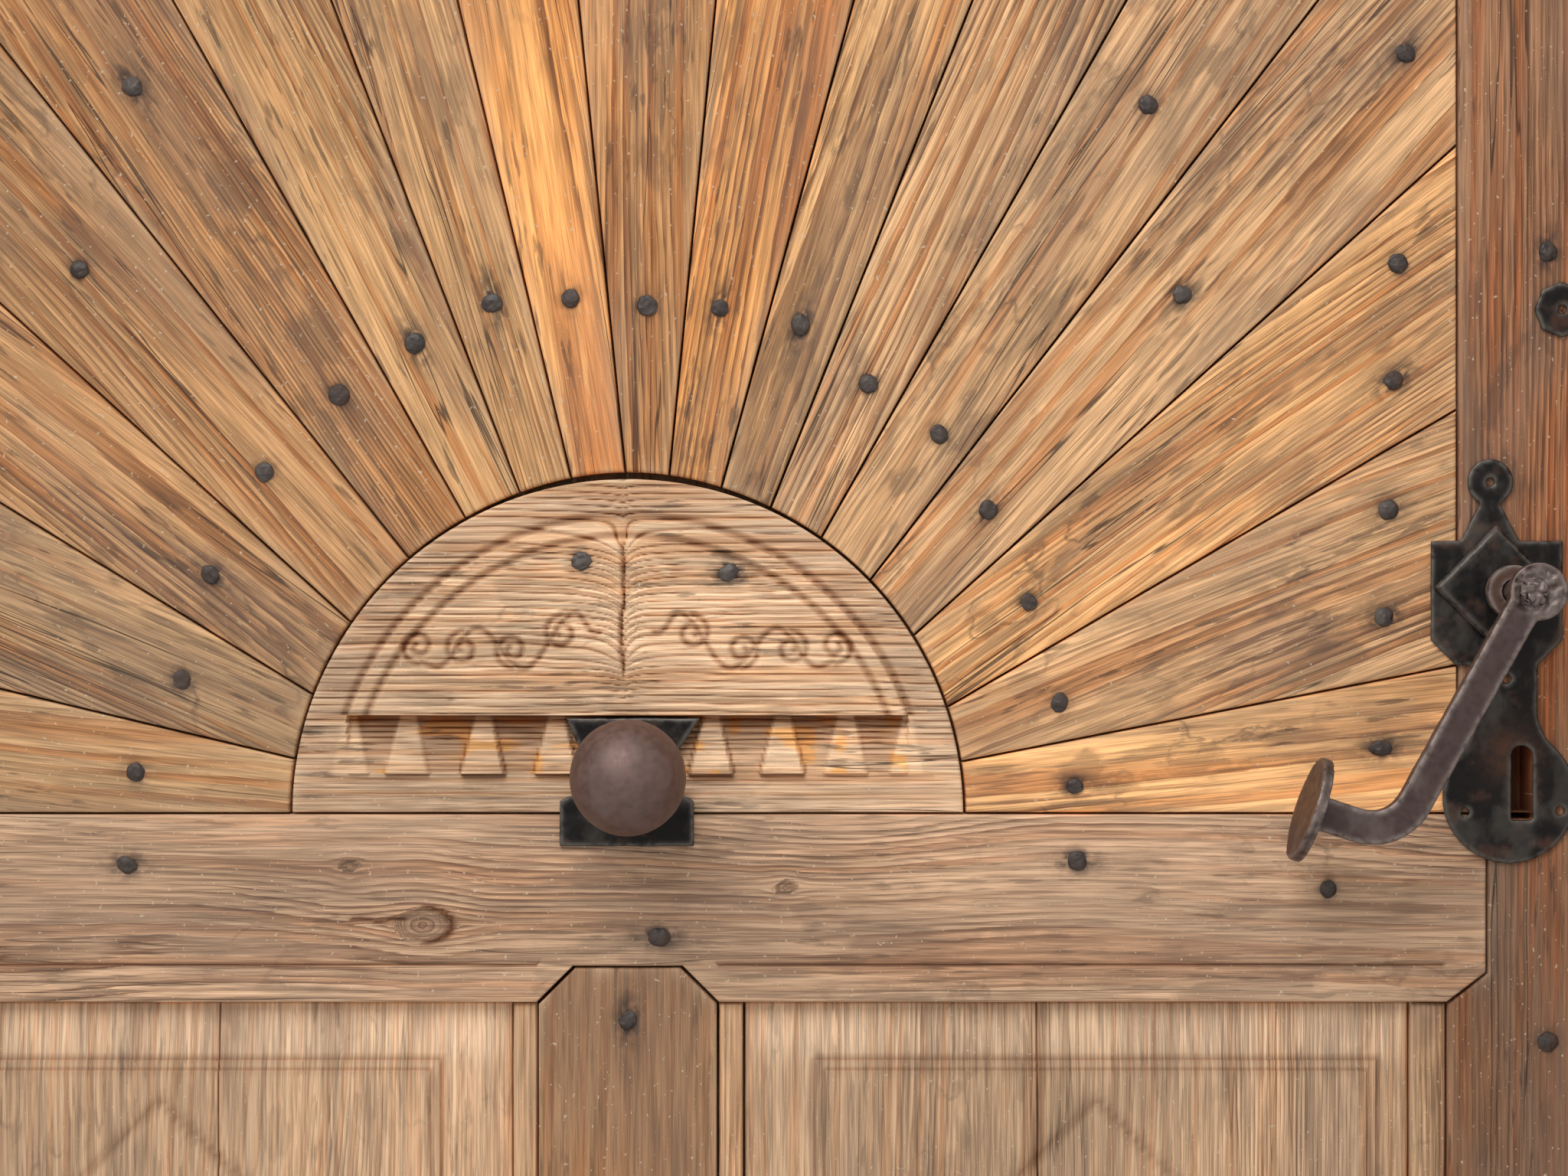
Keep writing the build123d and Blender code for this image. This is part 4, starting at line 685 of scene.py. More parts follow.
class Finish(Enum):
    """Every finish on the door, by its slot in the record."""

    ray_boards = WoodFinish("ray_wood", srgb(236, 184, 130), srgb(124, 78, 46), srgb(206, 138, 84))
    hub_board = WoodFinish("hub_wood", srgb(255, 217, 178), srgb(206, 154, 112), srgb(240, 186, 138),
                           greying=0.1, staining=0.4, relief=0.35 * MM)
    rail_boards = WoodFinish("rail_wood", srgb(230, 188, 152), srgb(140, 100, 74), srgb(214, 162, 124),
                             greying=0.3, staining=0.45, dashes=0.5)
    panel_boards = WoodFinish("panel_wood", srgb(228, 188, 150), srgb(172, 132, 102), srgb(216, 164, 122),
                              greying=0.3, staining=0.4, dashes=0.4)
    stile_boards = WoodFinish("stile_wood", srgb(172, 128, 96), srgb(108, 72, 50), srgb(170, 104, 64))
    plank_boards = WoodFinish("plank_wood", srgb(190, 148, 106), srgb(124, 84, 54), srgb(178, 130, 88),
                              staining=0.3, dashes=0.3)
    frame_timber = WoodFinish("frame_wood", srgb(172, 130, 96), srgb(92, 62, 42), srgb(156, 108, 74),
                              staining=0.5)
    peg_wood = WoodFinish("peg_end_wood", srgb(150, 110, 76), srgb(84, 56, 36), srgb(136, 94, 60))
    nail_iron = IronFinish("nail_iron", srgb(60, 49, 44), srgb(92, 82, 76), srgb(78, 56, 44), rusting=0.5,
                           metal=0.1)
    plate_iron = IronFinish("plate_iron", srgb(30, 27, 26), srgb(94, 88, 82), rusting=0.5, mottle=0.55)
    knob_iron = IronFinish("ball_iron", srgb(112, 90, 84), srgb(140, 128, 126), srgb(104, 70, 50),
                           rusting=0.2, relief=0.08 * MM, mottle=0.3, metal=0.6)
    lever_iron = IronFinish("lever_iron", srgb(76, 60, 57), srgb(132, 118, 112), srgb(92, 62, 46),
                            rusting=0.25, relief=0.25 * MM, mottle=0.4, metal=0.6)
    lock_iron = IronFinish("lock_iron", srgb(58, 54, 54), srgb(104, 98, 94), rusting=0.4)
    hinge_iron = IronFinish("hinge_iron", srgb(52, 49, 49), srgb(98, 92, 88), rusting=0.5)


MATERIALS = {finish.name: finish.value.build() for finish in Finish}


# Boards as mapped grids with real relief


@dataclass(frozen=True)
class Knot:
    """A knot in a board: where it lies and how large its eye is."""

    across: float
    along: float
    radius: float


@dataclass(frozen=True)
class Grain:
    """How a board's year rings run, given across and along the board."""

    spacing: float = 3.2 * MM
    pith_across: float = 0.05
    pith_depth: float = 0.02
    lean: float = 0.0
    wander: float = 5 * MM
    seed: int = 1
    knots: tuple[Knot, ...] = ()

    def rings(self, across: np.ndarray, along: np.ndarray) -> tuple[np.ndarray, np.ndarray]:
        """Count the rings at each place.

        Args:
            across: Places across the board.
            along: Places along the board.

        Returns:
            The ring count and how far each place lies inside a knot, from 0 to 1.
        """
        shift = self.wander * value_noise(across / 0.12 + 7.3, along / 0.3, self.seed)
        shift = shift + 0.35 * self.wander * value_noise(across / 0.04, along / 0.11, self.seed + 9)
        side = across - self.pith_across - self.lean * along + shift
        inside = np.zeros_like(across)
        for knot in self.knots:
            aside, ahead = across - knot.across, along - knot.along
            reach = bell(ahead, 3.2 * knot.radius)
            push = reach * knot.radius * np.exp(-np.abs(aside) / (3.5 * knot.radius))
            side = side - np.sign(aside) * push * 1.1
            distance = np.hypot(aside, ahead * 0.6)
            inside = np.maximum(inside, 1 - smooth_step(0.75 * knot.radius, 1.15 * knot.radius, distance))
        count = np.sqrt(side**2 + self.pith_depth**2) / self.spacing
        for knot in self.knots:
            distance = np.hypot(across - knot.across, (along - knot.along) * 0.6)
            eye = 1 - smooth_step(0.8 * knot.radius, 1.1 * knot.radius, distance)
            count = count * (1 - eye) + eye * distance / (2.2 * MM)
        return count, inside


@dataclass
class Board:
    """One board whose visible face is a grid of places in X and Z, by default in the leaf's outer layer."""

    name: str
    finish: Finish
    x: np.ndarray
    z: np.ndarray
    heading: float
    grain: Grain
    tint: tuple[float, float, float] | np.ndarray = (1.0, 1.0, 1.0)
    height: np.ndarray | float = 0.0
    rim: np.ndarray | None = None
    rim_radius: float = 1.4 * MM
    undulation: float = 0.35 * MM
    ridge: np.ndarray | float = 0.0
    valley_shade: float = 0.0
    faces_inside: bool = False
    # Painted shade on each place of the face, darkest in hollows, grooves and recesses.
    painted_shade: np.ndarray | float = 0.0
    front_y: float = SITE.face_y
    back_y: float = SITE.layer_y

    def turned(self, x: np.ndarray | float, z: np.ndarray | float) -> tuple:
        """Turn X and Z into places across and along the board, from the middle of its grid."""
        along_x, along_z = math.cos(self.heading), math.sin(self.heading)
        aside, ahead = x - self.x.mean(), z - self.z.mean()
        return aside * along_z - ahead * along_x, aside * along_x + ahead * along_z

    def rim_distance(self) -> np.ndarray:
        """Distance of each place to the nearest side of the grid, measured along the grid."""
        def travelled(axis: int) -> np.ndarray:
            """Shorter way to either end along one axis of the grid."""
            steps = np.hypot(np.diff(self.x, axis=axis), np.diff(self.z, axis=axis))
            start = np.concatenate([np.zeros_like(np.take(steps, [0], axis)), np.cumsum(steps, axis)], axis)
            return np.minimum(start, np.take(start, [-1], axis) - start)
        return np.minimum(travelled(0), travelled(1))

    def halo(self, across: np.ndarray, along: np.ndarray) -> np.ndarray:
        """Dark stain round each nail, drawn out along the grain."""
        total = np.zeros_like(across)
        if self.faces_inside:
            return total
        low_x, high_x, low_z, high_z = self.x.min(), self.x.max(), self.z.min(), self.z.max()
        for index, (nail_x, nail_z) in enumerate(NAIL_PLACES):
            if not (low_x < nail_x < high_x and low_z < nail_z < high_z):
                continue
            nail_across, nail_along = self.turned(nail_x, nail_z)
            away, on = across - nail_across, along - nail_along
            reach = 1.0 + 0.5 * math.sin(index * 2.4)
            total += 0.95 * np.exp(-((away / (6.2 * MM)) ** 2) - (on / (7.2 * MM * reach)) ** 2)
            total += 0.3 * np.exp(-((away / (7 * MM)) ** 2) - (on / (20 * MM * reach)) ** 2)
        return np.minimum(total, 1.0)

    def build(self) -> bpy.types.Object:
        """Make the board's mesh with its grain attributes.

        Returns:
            The new object, dressed and named.
        """
        across, along = self.turned(self.x, self.z)
        ring, knot = self.grain.rings(across, along)
        rim = self.rim_distance() if self.rim is None else self.rim
        halo = self.halo(across, along)
        seed = self.grain.seed
        height = self.height + self.undulation * (
            value_noise(across / 0.05, along / 0.16, seed + 3)
            + 0.4 * value_noise(across / 0.012, along / 0.05, seed + 4))
        if np.any(self.ridge):
            part = ring % 1.0
            crest = smooth_step(0.0, 0.2, part) * (1 - smooth_step(0.84, 1.0, part))
            height = height + self.ridge * (crest - 0.5)
            # Painted shade in the valleys between the ring ridges.
            self.painted_shade = self.painted_shade + self.valley_shade * (1 - crest)
        radius = self.rim_radius * (1 + 0.5 * value_noise(across / 0.03, along / 0.03, seed + 5))
        inner = np.clip(1 - rim / radius, 0, 1)
        height = height - radius * (1 - np.sqrt(1 - inner**2))
        height = height - 0.5 * MM * halo
        toward = 1.0 if self.faces_inside else -1.0
        y = self.front_y + toward * height
        return self.assemble(y, across, along, ring, knot, rim, halo)

    def assemble(self, y: np.ndarray, across: np.ndarray, along: np.ndarray, ring: np.ndarray,
                 knot: np.ndarray, rim: np.ndarray, halo: np.ndarray) -> bpy.types.Object:
        """Join the face, the side walls and the back into one closed mesh.

        Args:
            y: Depth of each place of the face.
            across: Places across the board.
            along: Places along the board.
            ring: Ring count of each place.
            knot: How far each place lies inside a knot.
            rim: Distance of each place to the rim.
            halo: Nail stain at each place.

        Returns:
            The new object.
        """
        rows, columns = self.x.shape
        index = np.arange(rows * columns).reshape(rows, columns)
        loop = np.concatenate([index[:-1, 0], index[-1, :-1], index[:0:-1, -1], index[0, :0:-1]])
        quads = np.stack([index[:-1, :-1], index[1:, :-1], index[1:, 1:], index[:-1, 1:]], -1).reshape(-1, 4)
        x_of, z_of = self.x.ravel(), self.z.ravel()
        middle = len(quads) // 2
        a, b, c = quads[middle, 0], quads[middle, 1], quads[middle, 3]
        turn = (x_of[b] - x_of[a]) * (z_of[c] - z_of[a]) - (z_of[b] - z_of[a]) * (x_of[c] - x_of[a])
        if (turn > 0) == self.faces_inside:
            quads, loop = quads[:, ::-1], loop[::-1]
        front = np.stack([x_of, y.ravel(), z_of], -1)
        back = front[loop].copy()
        back[:, 1] = self.back_y
        count, ends = len(front), len(loop)
        rim_back = np.arange(ends) + count
        walls = np.stack([np.roll(loop, -1), loop, rim_back, np.roll(rim_back, -1)], -1)
        faces = [*quads.tolist(), *walls.tolist(), rim_back[::-1].tolist()]
        mesh = bpy.data.meshes.new(self.name)
        mesh.from_pydata(np.concatenate([front, back]).tolist(), [], faces)

        def both(values: np.ndarray) -> np.ndarray:
            """Values of the face, followed by those of the back's rim."""
            flat = values.ravel()
            return np.concatenate([flat, flat[loop]])

        jitter = np.array([math.sin(self.grain.seed * k) * 3 for k in (1.3, 2.1, 3.7)])
        depth = np.concatenate([np.zeros(count), np.full(ends, abs(self.back_y - self.front_y))])
        grain = np.stack([both(across), both(along), depth], -1) + jitter
        bleach = np.exp(-both(rim) / (3.5 * MM))
        # The third part of marks carries the painted shade.
        painted_shade = np.broadcast_to(np.asarray(self.painted_shade, float), self.x.shape)
        marks = np.stack([bleach, both(halo), both(painted_shade), both(knot)], -1)
        tints = np.ones((*self.x.shape, 4))
        tints[..., :3] = self.tint
        tints = tints.reshape(-1, 4)
        tints = np.concatenate([tints, tints[loop]])
        paint(mesh, ring=both(ring), grain=grain, marks=marks, tint=tints)
        clothe(mesh, self.finish.name, 50)
        return placed(self.name, mesh)

    def fit(self, node: str) -> None:
        """Build the board in the place of its CAD node on the leaf."""
        settle(self.build(), "leaf", self.finish.name, node)


def settle(piece: bpy.types.Object, body: str, slot: str, *nodes: str) -> bpy.types.Object:
    """Let a piece ride on a body and stand for CAD nodes.

    Args:
        piece: The finished piece.
        body: Name of the body that carries it.
        slot: Name of the record's material slot; not used.
        nodes: CAD nodes that the piece replaces.

    Returns:
        The same piece.
    """
    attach(piece, body)
    if nodes:
        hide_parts(*nodes)
    LOG.info("%s: %d vertices on %s", piece.name, len(piece.data.vertices), body)
    return piece


class Tone(Enum):
    """Colour casts of single boards."""

    tan = (1.0, 0.98, 0.94)
    honey = (1.5, 1.42, 1.3)
    pale = (1.14, 1.17, 1.26)
    red = (0.92, 0.8, 0.7)
    orange = (1.48, 1.2, 0.86)
    brown = (0.78, 0.74, 0.72)
    grey = (0.84, 0.88, 0.95)


RAY_TONES = (
    Tone.honey, Tone.pale, Tone.honey, Tone.pale, Tone.pale, Tone.pale, Tone.tan, Tone.orange, Tone.red,
    Tone.orange, Tone.tan, Tone.tan, Tone.red, Tone.brown, Tone.brown, Tone.grey, Tone.grey,
)


@dataclass
class Sunburst:
    """The tapered ray boards between the hub, the stiles and the arch."""

    site: Site
    column_step: float = 4 * MM
    row_step: float = 4.5 * MM

    def corners(self, node: str) -> np.ndarray:
        """Ends of a ray's two long sides, from the front face of its CAD node.

        Args:
            node: Name of the ray's node.

        Returns:
            Lower start, upper start, lower end and upper end, as X and Z.
        """
        points = np.array([v.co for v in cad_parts[node].data.vertices])
        flat = points[np.abs(points[:, 1] - self.site.face_y) < 0.01 * MM][:, [0, 2]]
        away = flat - (0, self.site.base_z)
        reach, angle = np.hypot(*away.T), np.arctan2(away[:, 1], away[:, 0])
        near = reach < reach.min() + 0.05 * MM
        inner = self.site.sun_half - self.site.gap
        rise = np.maximum(flat[:, 1] - self.site.springing_z, 0)
        far = np.hypot(flat[:, 0], rise) > inner - 0.6 * MM
        starts, ends = flat[near], flat[far]
        near_angle, far_angle = angle[near], angle[far]
        return np.array([starts[near_angle.argmin()], starts[near_angle.argmax()],
                         ends[far_angle.argmin()], ends[far_angle.argmax()]])

    def grid(self, node: str) -> tuple[np.ndarray, np.ndarray, float]:
        """Mapped grid over a ray, and the way its grain runs.

        Args:
            node: Name of the ray's node.

        Returns:
            X and Z of the grid, and the heading in radians.
        """
        low_start, high_start, low_end, high_end = self.corners(node)
        width = np.hypot(*(high_end - low_end))
        shares = shares_of(width, self.column_step)[:, None]
        origin = low_start * (1 - shares) + high_start * shares
        low_way, high_way = low_end - low_start, high_end - high_start
        way = low_way / np.hypot(*low_way) * (1 - shares) + high_way / np.hypot(*high_way) * shares
        way = way / np.hypot(way[:, 0], way[:, 1])[:, None]
        inner = self.reach(origin, way, (0, self.site.base_z), self.site.hub_radius + 1.5 * MM)
        top = np.degrees(np.arctan2(origin[:, 1] - self.site.base_z, origin[:, 0]))
        inner = inner + 2.2 * MM * bell(top - 90, 20)
        half = self.site.sun_half - self.site.gap
        across = np.where(np.abs(way[:, 0]) < 1e-9, 1e-9, way[:, 0])
        to_stile = (np.sign(across) * half - origin[:, 0]) / across
        to_arch = self.reach(origin, way, (0, self.site.springing_z), half)
        level = origin[:, 1] + to_stile * way[:, 1] < self.site.springing_z
        outer = np.where(level, to_stile, to_arch)
        length = float((outer - inner).mean())
        steps = shares_of(length, self.row_step)[None, :]
        along = inner[:, None] * (1 - steps) + outer[:, None] * steps
        x = origin[:, 0, None] + along * way[:, 0, None]
        z = origin[:, 1, None] + along * way[:, 1, None]
        middle = way[len(way) // 2]
        return x, z, math.atan2(middle[1], middle[0])

    @staticmethod
    def reach(origin: np.ndarray, way: np.ndarray, centre: tuple[float, float], radius: float) -> np.ndarray:
        """Distance from each origin to the far side of a circle."""
        apart = origin - centre
        lean = (apart * way).sum(1)
        return -lean + np.sqrt(lean**2 - (apart**2).sum(1) + radius**2)

    def build(self) -> None:
        """Make every ray board."""
        for number, tone in enumerate(RAY_TONES, start=1):
            node = f"ray_{number:02d}"
            x, z, heading = self.grid(node)
            chance = np.random.default_rng(100 + number)
            grain = Grain(
                spacing=chance.uniform(2.0, 3.6) * MM, pith_across=chance.uniform(-0.09, 0.09),
                pith_depth=chance.uniform(0.01, 0.04), lean=chance.uniform(-0.05, 0.05), seed=10 + number)
            Board(f"ray_board_{number:02d}", Finish.ray_boards, x, z, heading, grain, tone.value).fit(node)


@dataclass
class HubBoard:
    """The carved half-round board that the rays are fitted round."""

    site: Site
    field_radius: float = 150.5 * MM
    field_proud: float = 3.0 * MM
    groove_radius: float = 141.3 * MM
    ledge_rise: float = 50.4 * MM
    foot_rise: float = 21.0 * MM
    recess_depth: float = 6.0 * MM
    drop_proud: float = 3.2 * MM
    drop_top: float = 8.0 * MM
    arc_depth: float = 2.2 * MM
    rim_groove_depth: float = 1.2 * MM
    tendril_depth: float = 1.9 * MM
    crack_depth: float = 3.2 * MM
    drop_foot: float = 22.0 * MM
    drop_places: tuple[float, ...] = (-142.0, -111.7, -73.3, -36.1, 42.3, 78.4, 110.6, 143.9)
    drop_left: tuple[float, ...] = (0.35, 0.55, 1.0, 0.85, 1.0, 0.9, 0.4, 0.3)
    crack_low: float = 66 * MM
    crack_high: float = 143 * MM
    row_step: float = 0.72 * MM
    column_step: float = 1.35 * MM

    def tendril(self) -> list[np.ndarray]:
        """Centre lines of a plain running tendril, from the hub's middle to each side.

        Returns:
            Curves as arrays of X and height above the base line.
        """
        lines = []
        middle, swing, wave = 92 * MM, 12 * MM, 50 * MM
        along = np.linspace(14 * MM, 104 * MM, 90)
        for side in (-1, 1):
            gone = along - along[0]
            fade = smooth_step(0, 12 * MM, gone) * smooth_step(0, 26 * MM, along[-1] + 4 * MM - along)
            stem = middle + swing * fade * np.sin(2 * np.pi * gone / wave) - 0.16 * gone
            lines.append(np.stack([side * along, stem], -1))
            for turn, way in ((0.3, 1), (0.8, -1), (1.3, 1), (1.75, -1)):
                root = along[0] + turn * wave
                if root > along[-1]:
                    continue
                height = np.interp(root, along, stem)
                angle = np.linspace(0, 1.35 * 2 * np.pi, 40)
                radius = 9 * MM * (1 - angle / angle[-1] * 0.78)
                curl_x = root + 4 * MM + radius * np.sin(angle)
                curl_z = height - way * (9 * MM - radius * np.cos(angle))
                lines.append(np.stack([side * curl_x, curl_z], -1))
        return lines

    @staticmethod
    def distance_to(lines: list[np.ndarray], x: np.ndarray, z: np.ndarray) -> np.ndarray:
        """Distance of each place to the nearest of some curves."""
        nearest = np.full(x.shape, 1.0)
        for line in lines:
            for (x_a, z_a), (x_b, z_b) in zip(line, line[1:]):
                reach = 3 * MM
                near = ((x > min(x_a, x_b) - reach) & (x < max(x_a, x_b) + reach)
                        & (z > min(z_a, z_b) - reach) & (z < max(z_a, z_b) + reach))
                way_x, way_z = x_b - x_a, z_b - z_a
                share = ((x[near] - x_a) * way_x + (z[near] - z_a) * way_z) / (way_x**2 + way_z**2 + 1e-12)
                share = np.clip(share, 0, 1)
                found = np.hypot(x[near] - x_a - share * way_x, z[near] - z_a - share * way_z)
                nearest[near] = np.minimum(nearest[near], found)
        return nearest

    def relief(self, x: np.ndarray, rise: np.ndarray) -> tuple[np.ndarray, np.ndarray]:
        """Height of the carving and how deep in shade each place lies.

        Args:
            x: Places across the hub.
            rise: Heights above the base line.

        Returns:
            Height in front of the board's face, and a shade from 0 to 1.
        """
        radius = np.hypot(x, rise)
        above = rise > self.ledge_rise
        edge = 1 - smooth_step(-0.9 * MM, 0.3 * MM, radius - self.field_radius)
        height = np.where(above, self.field_proud * edge, 0.0)
        shade = np.zeros_like(x)
        groove = np.clip(1.2 - np.abs(radius - self.groove_radius) / (2.2 * MM), 0, 1) * above
        foot_groove = np.clip(1.2 - np.abs(radius - self.field_radius - 1.4 * MM) / (2.4 * MM), 0, 1) * above
        height = height - self.arc_depth * groove - self.rim_groove_depth * foot_groove
        shade = shade + 0.5 * groove + 0.5 * foot_groove
        half = math.sqrt(self.field_radius**2 - self.ledge_rise**2)
        share = (rise - self.foot_rise) / (self.ledge_rise - self.foot_rise)
        inside = (share > 0) & ~above & (np.abs(x) < half)
        floor = -self.recess_depth * share
        height = np.where(inside, floor, height)
        shade = np.where(inside, 0.3 + 0.65 * share**2, shade)
        for place, left in zip(self.drop_places, self.drop_left):
            centre = place * MM
            width = self.drop_foot + (self.drop_top - self.drop_foot) * share
            beside = np.abs(x - centre) - width / 2
            cover = np.clip(0.5 - beside / (1.5 * MM), 0, 1) * inside
            outline = bell(beside - 0.9 * MM, 1.2 * MM) * inside
            under = bell(self.foot_rise - 1.2 * MM - rise, 1.3 * MM) * (beside < 0) * (share < 0)
            shade = np.maximum(shade, 0.75 * left * np.maximum(outline, under))
            face = floor + (self.drop_proud * (1 - share) + self.recess_depth * share * (1 - share)) * left
            face = face + 1.2 * MM * left
            height = height * (1 - cover) + face * cover
            shade = shade * (1 - cover) + 0.6 * np.clip(share, 0, 1) ** 6 * cover
        wobble = 1.3 * MM * value_noise(rise / (9 * MM), rise * 0 + 0.5, 71)
        ends = smooth_step(self.crack_low, self.crack_low + 9 * MM, rise)
        ends = ends * (1 - smooth_step(self.crack_high - 14 * MM, self.crack_high, rise))
        breadth = (2.2 + 1.0 * value_noise(rise / (14 * MM), rise * 0, 72)) * MM
        crack = np.clip(1 - np.abs(x - wobble + 2 * MM) / breadth, 0, 1) * ends
        splinter = np.clip(1 - np.abs(x - wobble + 0.8 * MM) / (0.9 * MM), 0, 1) * crack
        height = height - self.crack_depth * crack + 2.2 * MM * splinter
        shade = np.maximum(shade, 0.85 * crack - 0.9 * splinter)
        carved = self.distance_to(self.tendril(), x, rise)
        cut = np.clip(1.15 - carved / (1.9 * MM), 0, 1)
        height = height - self.tendril_depth * cut
        return height, np.clip(shade + 0.55 * cut, 0, 1)

    def build(self) -> None:
        """Make the hub board."""
        radius, foot = self.site.hub_radius, self.site.gap
        step = 0.12 * MM
        marks = tuple(rise + shift for rise in (self.ledge_rise, self.foot_rise) for shift in (-step, step))
        rises = graded(foot, radius - 0.06 * MM, self.row_step, marks)[:, None]
        half = np.sqrt(radius**2 - rises**2)
        shares = graded(-radius, radius, self.column_step)[None, :] / radius
        x = half * shares
        rise = rises + np.zeros_like(x)
        height, shade = self.relief(x, rise)
        aside = x + 2 * MM
        pull = np.exp(-np.abs(aside) / np.where(aside < 0, 9 * MM, 4 * MM))
        bend = 9 * MM * pull * smooth_step(0.05, 0.09, rise) * (1 - 0.8 * smooth_step(0.135, 0.155, rise))
        slow = 2.2 * MM * value_noise(x / 0.1, rise / 0.06, 5)
        slow = slow + 0.8 * MM * value_noise(x / 0.03, rise / 0.02, 6)
        grain = HubGrain(spacing=4.0 * MM, shift=bend + slow, rise=rise, seed=41)
        rim = np.minimum(radius - np.hypot(x, rise), rise - foot)
        rim = np.maximum(rim, 0)
        specks = smooth_step(0.45, 0.8, value_noise(x / (9 * MM), rise / (7 * MM), 55) + 0.35 * shade)
        specks = specks * (rise > self.foot_rise) * (rise < self.ledge_rise)
        specks = specks * (np.abs(x) < self.groove_radius)
        tint = 1.1 + specks[..., None] * np.array([0.2, -0.08, -0.5])
        outside = smooth_step(-1 * MM, 2 * MM, np.hypot(x, rise) - self.field_radius)
        outside = np.maximum(outside, rise < self.foot_rise)
        tint = tint * (1 - outside[..., None] * np.array([0.2, 0.21, 0.2]))
        ridge = 1.15 * MM * (0.3 + 0.7 * smooth_step(22 * MM, 50 * MM, rise))
        # The relief's shade and the ring valleys become painted shade: grooves, the recess under the ledge,
        # the drops' outlines and feet, the crack and the tendril.
        Board("hub_board", Finish.hub_board, x, rise + self.site.base_z, 0.0, grain, tint, height, rim,
              ridge=ridge, valley_shade=0.62, undulation=0.15 * MM, painted_shade=shade).fit("hub")


@dataclass(frozen=True)
class HubGrain(Grain):
    """Straight rings that run across the hub and bend round its crack."""

    shift: np.ndarray | float = 0.0
    rise: np.ndarray | float = 0.0

    def rings(self, across: np.ndarray, along: np.ndarray) -> tuple[np.ndarray, np.ndarray]:
        """Count the rings from the hub's foot upwards."""
        uneven = 0.9 * value_noise(self.rise / (15 * MM), along * 0, self.seed)
        uneven = uneven - 8 * np.exp(-self.rise / (20 * MM))
        return 40 + (self.rise + self.shift) / self.spacing + uneven, np.zeros_like(across)


UPRIGHT = math.radians(90)


